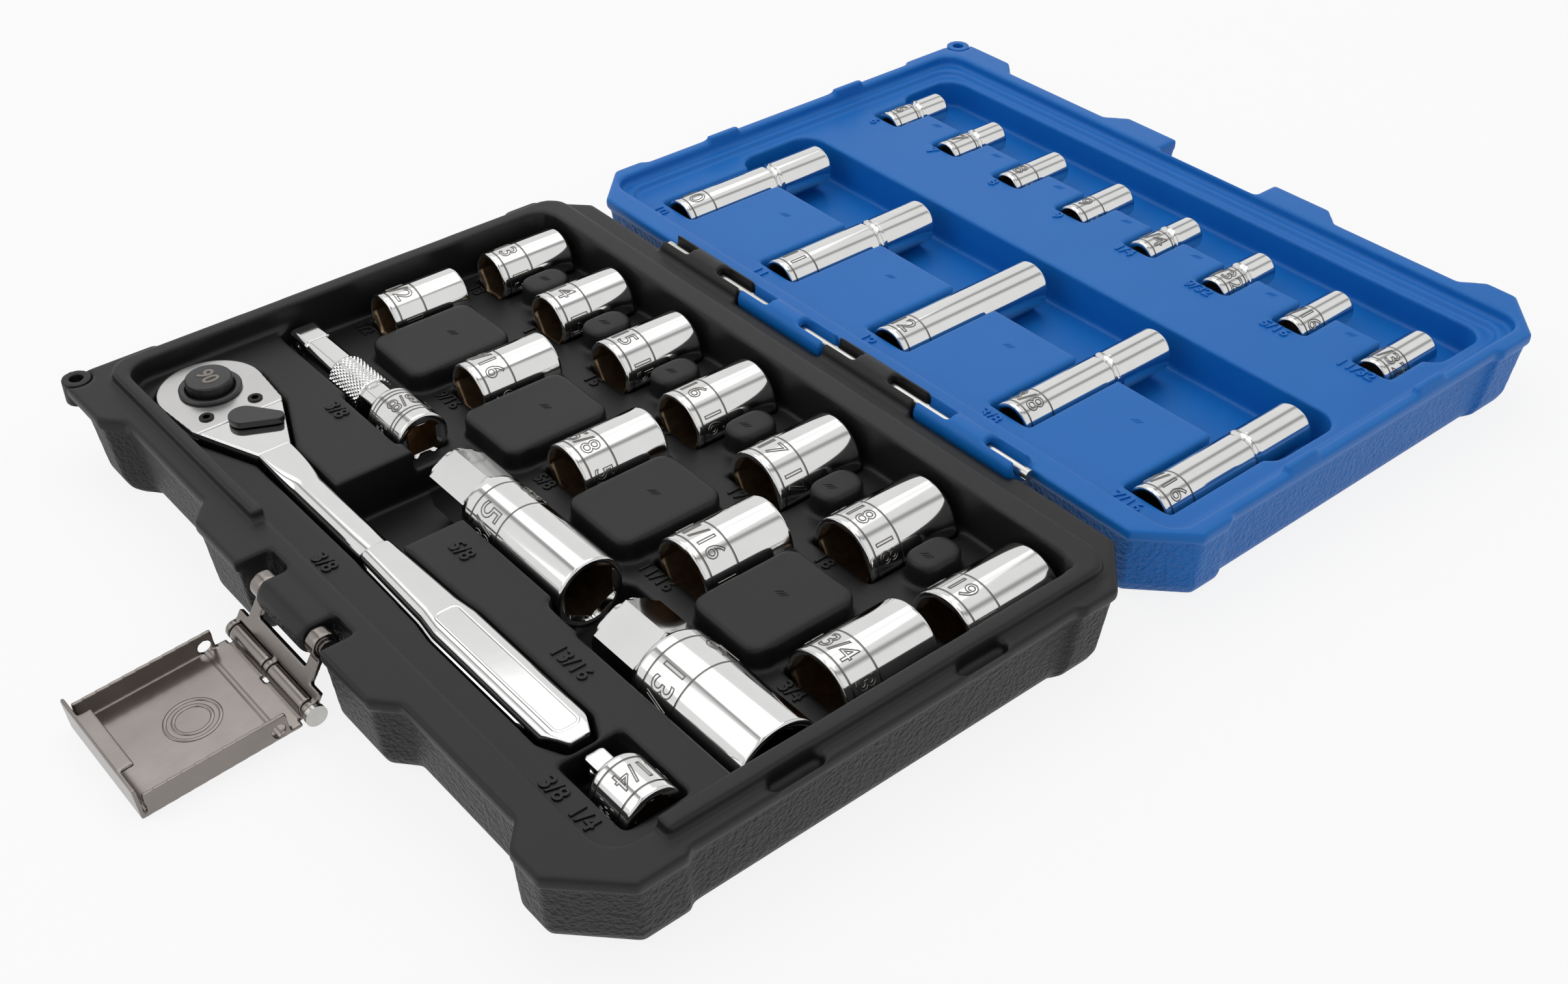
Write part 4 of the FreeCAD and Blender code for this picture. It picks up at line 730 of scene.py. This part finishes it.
for node, body in (("extension_ball", "extension"), ("adapter_ball", "adapter")):
    low, high = ends_of(node)
    ball, middle = high[0] - low[0], (low + high)[[0, 2]] / 2
    # The seat ring takes the darker chrome: painted shade round the ball.
    seat = [("round", 0.7 * ball, 0.3, 0), ("round", 0.7 * ball, -0.03, 0),
            ("round", 1.16 * ball, -0.03, 0), ("round", 1.16 * ball, 0.3, 0)]
    make_piece("seat_of_" + node, body, [turned_skin(seat, middle, low[1] + BALL_PROUD, "y")], [ROLLED_AND_SHADE])
print("bar", round(bar_length, 1), "adapter", round(length, 1))

# %% [markdown]
# A spark-plug socket has six flats at its drive end, so that a spanner can turn it, and a long round barrel.
# Its skin runs along the outside, into the hexagon, past the seat of the rubber sleeve and out through the
# square drive.


# %% Spark-plug sockets
PASSAGE = 8.58


def spark_socket(word, flats, end_flats, label):
    """One spark-plug socket from its drive end, with its size rolled in twice; gives its length."""
    node = "spark_socket_" + word
    start, middle, length, outer = lying_bar(node)
    corner = end_flats * CORNER_OVER_FLATS
    end = "upright_hexagon"
    stations = [("round", 13.2, 0, 0), ("round", end_flats - 0.6, 0, 0),
                (end, end_flats, 0.5, 0, end_flats + 0.8), (end, end_flats, 1.8, 0, corner + 0.2),
                (end, end_flats, 19.2, 0, corner + 0.2),
                ("round", min(outer - 0.8, corner + 0.5), 20.3, 0), ("round", outer - 0.2, 21.4, 0),
                ("round", outer, 22, 0)]
    stations += groove(outer, 25) + groove(outer, 38) + eased_end(outer, length, -1)
    stations += [("round", flats * CORNER_OVER_FLATS + 0.5, length - 0.1, 0), (end, flats, length - 1.2, 1),
                 (end, flats, length - 20, 1), ("round", flats, length - 20, 1),
                 ("round", flats, length - 32, 1), ("round", PASSAGE, length - 32, 1),
                 ("round", PASSAGE, 11.4, 1), ("square", DRIVE_RECESS, RECESS_DEPTH, 1),
                 ("square", DRIVE_RECESS, 0.9, 1)]
    number = rolled_number(f"{label}   {label}", 8.5, middle, outer / 2, start + 31.5, "x")
    make_piece("turned_" + node, "spark_" + word, [turned_skin(stations, middle, start, "x"), number],
               [CHROME, BRONZED, ROLLED_AND_SHADE], [node])
    return round(length, 1)


print("spark sockets", spark_socket("5_8in", 15.88, 18.5, "5/8"), spark_socket("13_16in", 20.64, 22, "13/16"))

# %% [markdown]
# The ratchet is a forging with its edges rolled and a polished grip. A cover plate closes the head, held by
# two blackened screws. The ring, the release button with its plain number and the reversing lever are black
# nylon. A raised line frames the panel on the grip, and a rounded flank runs along each of its sides.


# %% Ratchet
RING_RISE, CAP_TALL, PANEL_X, NECK_FROM, NECK_TO = 1.3, 5.05, 57.5, -66.5, -7
softened("ratchet_body", "ratchet", "forged_ratchet", [CHROME], 0.35, 5, 60000)
softened("ratchet_cover", "ratchet", "pressed_cover", [SATIN_CHROME], 0.25, 4, 24000)
softened("reverse_lever", "ratchet_lever", "moulded_lever", [NYLON], 0.2, 5, 16000)


def centre_of(node):
    """The middle (x, y) of an upright piece and its lowest and highest level."""
    low, high = ends_of(node)
    return tuple((low + high)[:2] / 2), low[2], high[2]


def bead(path, up, wide, tall):
    """A closed bead along a ring of points: an ellipse across the path, flattened below the surface."""
    side = np.cross(np.roll(path, -1, 0) - np.roll(path, 1, 0), up)
    side /= np.linalg.norm(side, axis=1, keepdims=True)
    turn = np.linspace(0, 2 * math.pi, 12, endpoint=False)
    rise = np.where(np.sin(turn) > 0, tall * np.sin(turn), 0.5 * tall * np.sin(turn))
    aside = wide / 2 * np.cos(turn)
    points = path[:, None] + side[:, None] * aside[:, None] + np.asarray(up) * rise[:, None]
    return points, grid_faces(len(path), len(turn), close_rows=True), 0


def rounded_frame(half_long, half_wide, corner):
    """Points of a flat frame round the origin: quarter circles at the corners of a rectangle."""
    turn = np.linspace(0, 2 * math.pi, 48, endpoint=False)
    return np.stack([np.sign(np.cos(turn)) * (half_long - corner) + corner * np.cos(turn),
                     np.sign(np.sin(turn)) * (half_wide - corner) + corner * np.sin(turn)], 1)


place, bottom, top = centre_of("bezel_ring")
face = top - RING_RISE
rim = [("round", 17.3, -2, 0), ("round", 17.3, 0.05, 0), ("round", 19, 0.05, 0), ("round", 19.4, 0.4, 0),
       ("round", 19.4, 0.8, 0), ("round", 18.9, 1.15, 0), ("round", 18.2, RING_RISE, 0),
       ("round", 16.2, RING_RISE, 0), ("round", 15.5, 1.1, 0), ("round", 15.2, 0.6, 0),
       ("round", 15.2, -2, 0)]
skin = turned_skin(rim, place, face, "z")
make_piece("moulded_ring", "ratchet", [skin], [NYLON], ["bezel_ring"])
place, bottom, top = centre_of("release_button")
cap = [("round", 0, 0, 0), ("round", 14.4, 0, 0), ("round", 14.5, 0.2, 0), ("round", 14.5, 4.2, 0),
       ("round", 14.2, 4.7, 0), ("round", 13.6, 5, 0), ("round", 12.6, CAP_TALL, 0),
       ("round", 0, CAP_TALL, 0)]
digits, digit_faces = type_mesh("90", 5.6, 0.04)
make_piece("moulded_button", "ratchet_button", [
    turned_skin(cap, place, bottom, "z", ring=False), (digits + (*place, bottom + CAP_TALL), digit_faces, 1)],
    [NYLON, PRINT], ["release_button"])
for node in ("cover_screw_near", "cover_screw_far"):
    place, bottom, top = centre_of(node)
    head = [("round", 0, 0, 0), ("round", 2.4, 0, 0), ("round", 2.4, 6, 0), ("round", 4.5, 6.02, 0),
            ("round", 4.6, 6.3, 0), ("round", 4.3, 6.45, 0), ("round", 2.8, 6.5, 0),
            ("hexagon", 2.1, 6.45, 0), ("hexagon", 2.1, 5.4, 0), ("round", 0, 5.4, 0)]
    skin = turned_skin(head, place, bottom, "z", ring=False)
    make_piece("turned_" + node, "ratchet", [skin], [BLACK_OXIDE], [node])
low, high = ends_of("ratchet_body")
grip_top, grip_middle = high[2] - 0.25, (low[1] + high[1]) / 2
head_middle, up = (low[2] + high[2]) / 2, np.array((0, 0, 1))
border = rounded_frame(29, 3.7, 2.2) + (PANEL_X, grip_middle)
border = np.column_stack([border, np.full(len(border), grip_top)])
along = np.linspace(-6, 76, 60)
half = np.interp(along, (-8, 25, 33, 83), (5.25, 6.25, 7.25, 7.25))
flank = np.column_stack([np.r_[along, along[::-1]], grip_middle + np.r_[half, -half[::-1]]])
flank = np.column_stack([flank, np.full(len(flank), head_middle)])
grip_lines = [bead(border, up, 1.1, 0.25), bead(flank, up, 1.6, 2.4)]
make_piece("grip_border", "ratchet", grip_lines, [CHROME])


def rolled_neck(x_low, x_high, middle, wide, tall_from, tall_to, blend):
    """A neck along X. Its section is a rounded square: |y / a| to the power n plus |z / b| to the power n
    is one, and n and the height fall over the blend, from almost square at the head to almost round."""
    along = np.linspace(x_low, x_high, 70)[:, None]
    part = np.clip((along - x_low) / blend, 0, 1)
    part = part * part * (3 - 2 * part)
    power = 2 / (12 + (2.4 - 12) * part)
    half = wide * (1 - 0.05 * np.clip((along - x_high + 8) / 8, 0, 1))
    tall = tall_from + (tall_to - tall_from) * part
    turn = np.linspace(0, 2 * math.pi, 64, endpoint=False)
    across = half * np.sign(np.cos(turn)) * np.abs(np.cos(turn)) ** power
    rise = tall * np.sign(np.sin(turn)) * np.abs(np.sin(turn)) ** power
    points = np.stack([along + 0 * across, middle[0] + across, middle[1] + rise], -1)
    return points, grid_faces(len(along), len(turn)), 0


neck = rolled_neck(NECK_FROM, NECK_TO, (grip_middle, head_middle), 5.45, 5.76, 5.2, 20)
make_piece("rolled_neck", "ratchet", [neck], [CHROME])
print("ratchet", [round(v, 1) for v in high - low])

# %% [markdown]
# The latch is pressed from sheet: a link that turns on a rod in the base, and a plate with rolled sides and a
# hook for the lid. Two plain rings are embossed in the plate.


# %% Latch and lock ears
@functools.cache
def faces_of(node):
    """The faces of a node in a tree that finds where a ray meets them."""
    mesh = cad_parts[node].data
    return BVHTree.FromPolygons(read(mesh.vertices, "co", float, 3).tolist(),
                                [list(face.vertices) for face in mesh.polygons])


def top_under(node, x, y):
    """Height of the highest face of a node over a place, in millimetres."""
    return faces_of(node).ray_cast(Vector((x * MM, y * MM, 1)), Vector((0, 0, -1)))[0].z / MM


softened("latch_plate", "latch_plate", "pressed_plate", [NICKEL], 0.32, 4, 60000)
softened("latch_link", "latch_link", "pressed_link", [NICKEL], 0.3, 4, 30000)
low, high = ends_of("latch_plate")
near, far = low[1] + 14, low[1] + 38
run = np.array([0, far - near, top_under("latch_plate", 0, far) - top_under("latch_plate", 0, near)])
run /= np.linalg.norm(run)
up = np.cross((1, 0, 0), run)
turn = np.linspace(0, 2 * math.pi, 64, endpoint=False)[:, None]
middle = np.array([0, (near + far) / 2, top_under("latch_plate", 0, (near + far) / 2)])
surfaces = [bead(middle + radius * (np.cos(turn) * (1, 0, 0) + np.sin(turn) * run), up, 1.2, 0.3)
            for radius in (7.5, 5.2)]
make_piece("embossed_ring", "latch_plate", surfaces, [NICKEL])
for node, body, finish, slot in (("base_lock_ear", "base", BLACK_SATIN, "black_case"),
                                 ("lid_lock_ear", "lid", BLUE_SATIN, "blue_case")):
    softened(node, body, "moulded_" + node, [finish], 0.35, 4, 8000)

# %% [markdown]
# Each pocket has its size raised beside it, and the flats between the pockets carry three small slanted ribs.


# %% Numbers and ribs in the trays
SIZE_TALL, TOOL_SIZE_TALL = 4.6, 5


def set_flat(words, tall, node, x, y, thick=0.3):
    """A raised number on the tray under its place."""
    points, faces = type_mesh(words, tall, thick)
    return points + (x, y, top_under(node, x, y)), faces, 0


def ribs(node, x, y):
    """Three slanted ribs, each a small half-sunk ellipsoid: two angles give its points."""
    surfaces = []
    polar, turn = np.linspace(0, math.pi, 7)[:, None], np.linspace(0, 2 * math.pi, 8, endpoint=False)
    long = 1.5 * np.cos(polar) + 0 * turn
    thin, tall = 0.28 * np.sin(polar) * np.cos(turn), 0.25 * np.sin(polar) * np.sin(turn)
    level = top_under(node, x, y)
    for shift in (-1.1, 0, 1.1):
        wide, deep = x + shift + 0.6 * long - 0.8 * thin, y + 0.8 * long + 0.6 * thin
        surfaces.append((np.stack([wide, deep, level + tall], -1), grid_faces(7, 8), 0))
    return surfaces


def tray_marks(name, node, body, rows, extras, finish):
    """Numbers beside every socket of some rows, ribs between neighbours, and a few more numbers."""
    surfaces = [set_flat(words, TOOL_SIZE_TALL, node, x, y) for words, x, y in extras]
    for row, forward, aside in rows:
        for index, socket_node in enumerate(row):
            low, high = ends_of(socket_node)
            x = (low[0] + high[0]) / 2
            label = size_of(socket_node)[1]
            surfaces.append(set_flat(label, SIZE_TALL, node, x + aside, low[1] - forward))
            if index:
                surfaces += ribs(node, (before + low[0]) / 2, 0.6 * low[1] + 0.4 * high[1])
            before = high[0]
    return make_piece(name, body, surfaces, [finish])


def row_of(prefix, sizes):
    """Names of the nodes of one row of sockets."""
    return [f"{prefix}_{size}" for size in sizes.split()]


metric = row_of("socket", "13mm 14mm 15mm 16mm 17mm 18mm 19mm")
inch = row_of("socket", "1_2in 9_16in 5_8in 11_16in 3_4in")
deep = row_of("deep_socket", "10mm 11mm 12mm 3_8in 7_16in")
small = row_of("small_socket", "6mm 7mm 8mm 9mm 1_4in 9_32in 5_16in 11_32in")
tray_marks("base_numbers", "base_shell", "base", [(metric, 4.6, -2), (inch, 4.6, -5)], [
    ("3/8", -75, -35.5), ("3/8", -12, -75), ("5/8", 8, -43), ("13/16", 66, -46), ("3/8  1/4", 106, -75)],
    BLACK_SATIN)
tray_marks("lid_numbers", "lid_shell", "lid", [(deep, 6, -3), (small, 5, -2)], [], BLUE_SATIN)
print("rows", len(metric), len(inch), len(deep), len(small))

# %% [markdown]
# What is left of the frame already has the right shape, and gets its finish in place of the plain one.

# %% Finishes for the frame's own pieces
FINISH_OF = {"hinge_rod": ZINC, "latch_rod": ZINC, "latch_pin": ZINC, "spark_insert_5_8in": RUBBER,
             "spark_insert_13_16in": RUBBER, "pawl": SATIN_CHROME, "drive_gear": SATIN_CHROME}
for node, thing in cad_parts.items():
    if not thing.hide_render:
        thing.data.materials.clear()
        thing.data.materials.append(FINISH_OF.get(node, CHROME))
print("own pieces", sum(not thing.hide_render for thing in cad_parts.values()))
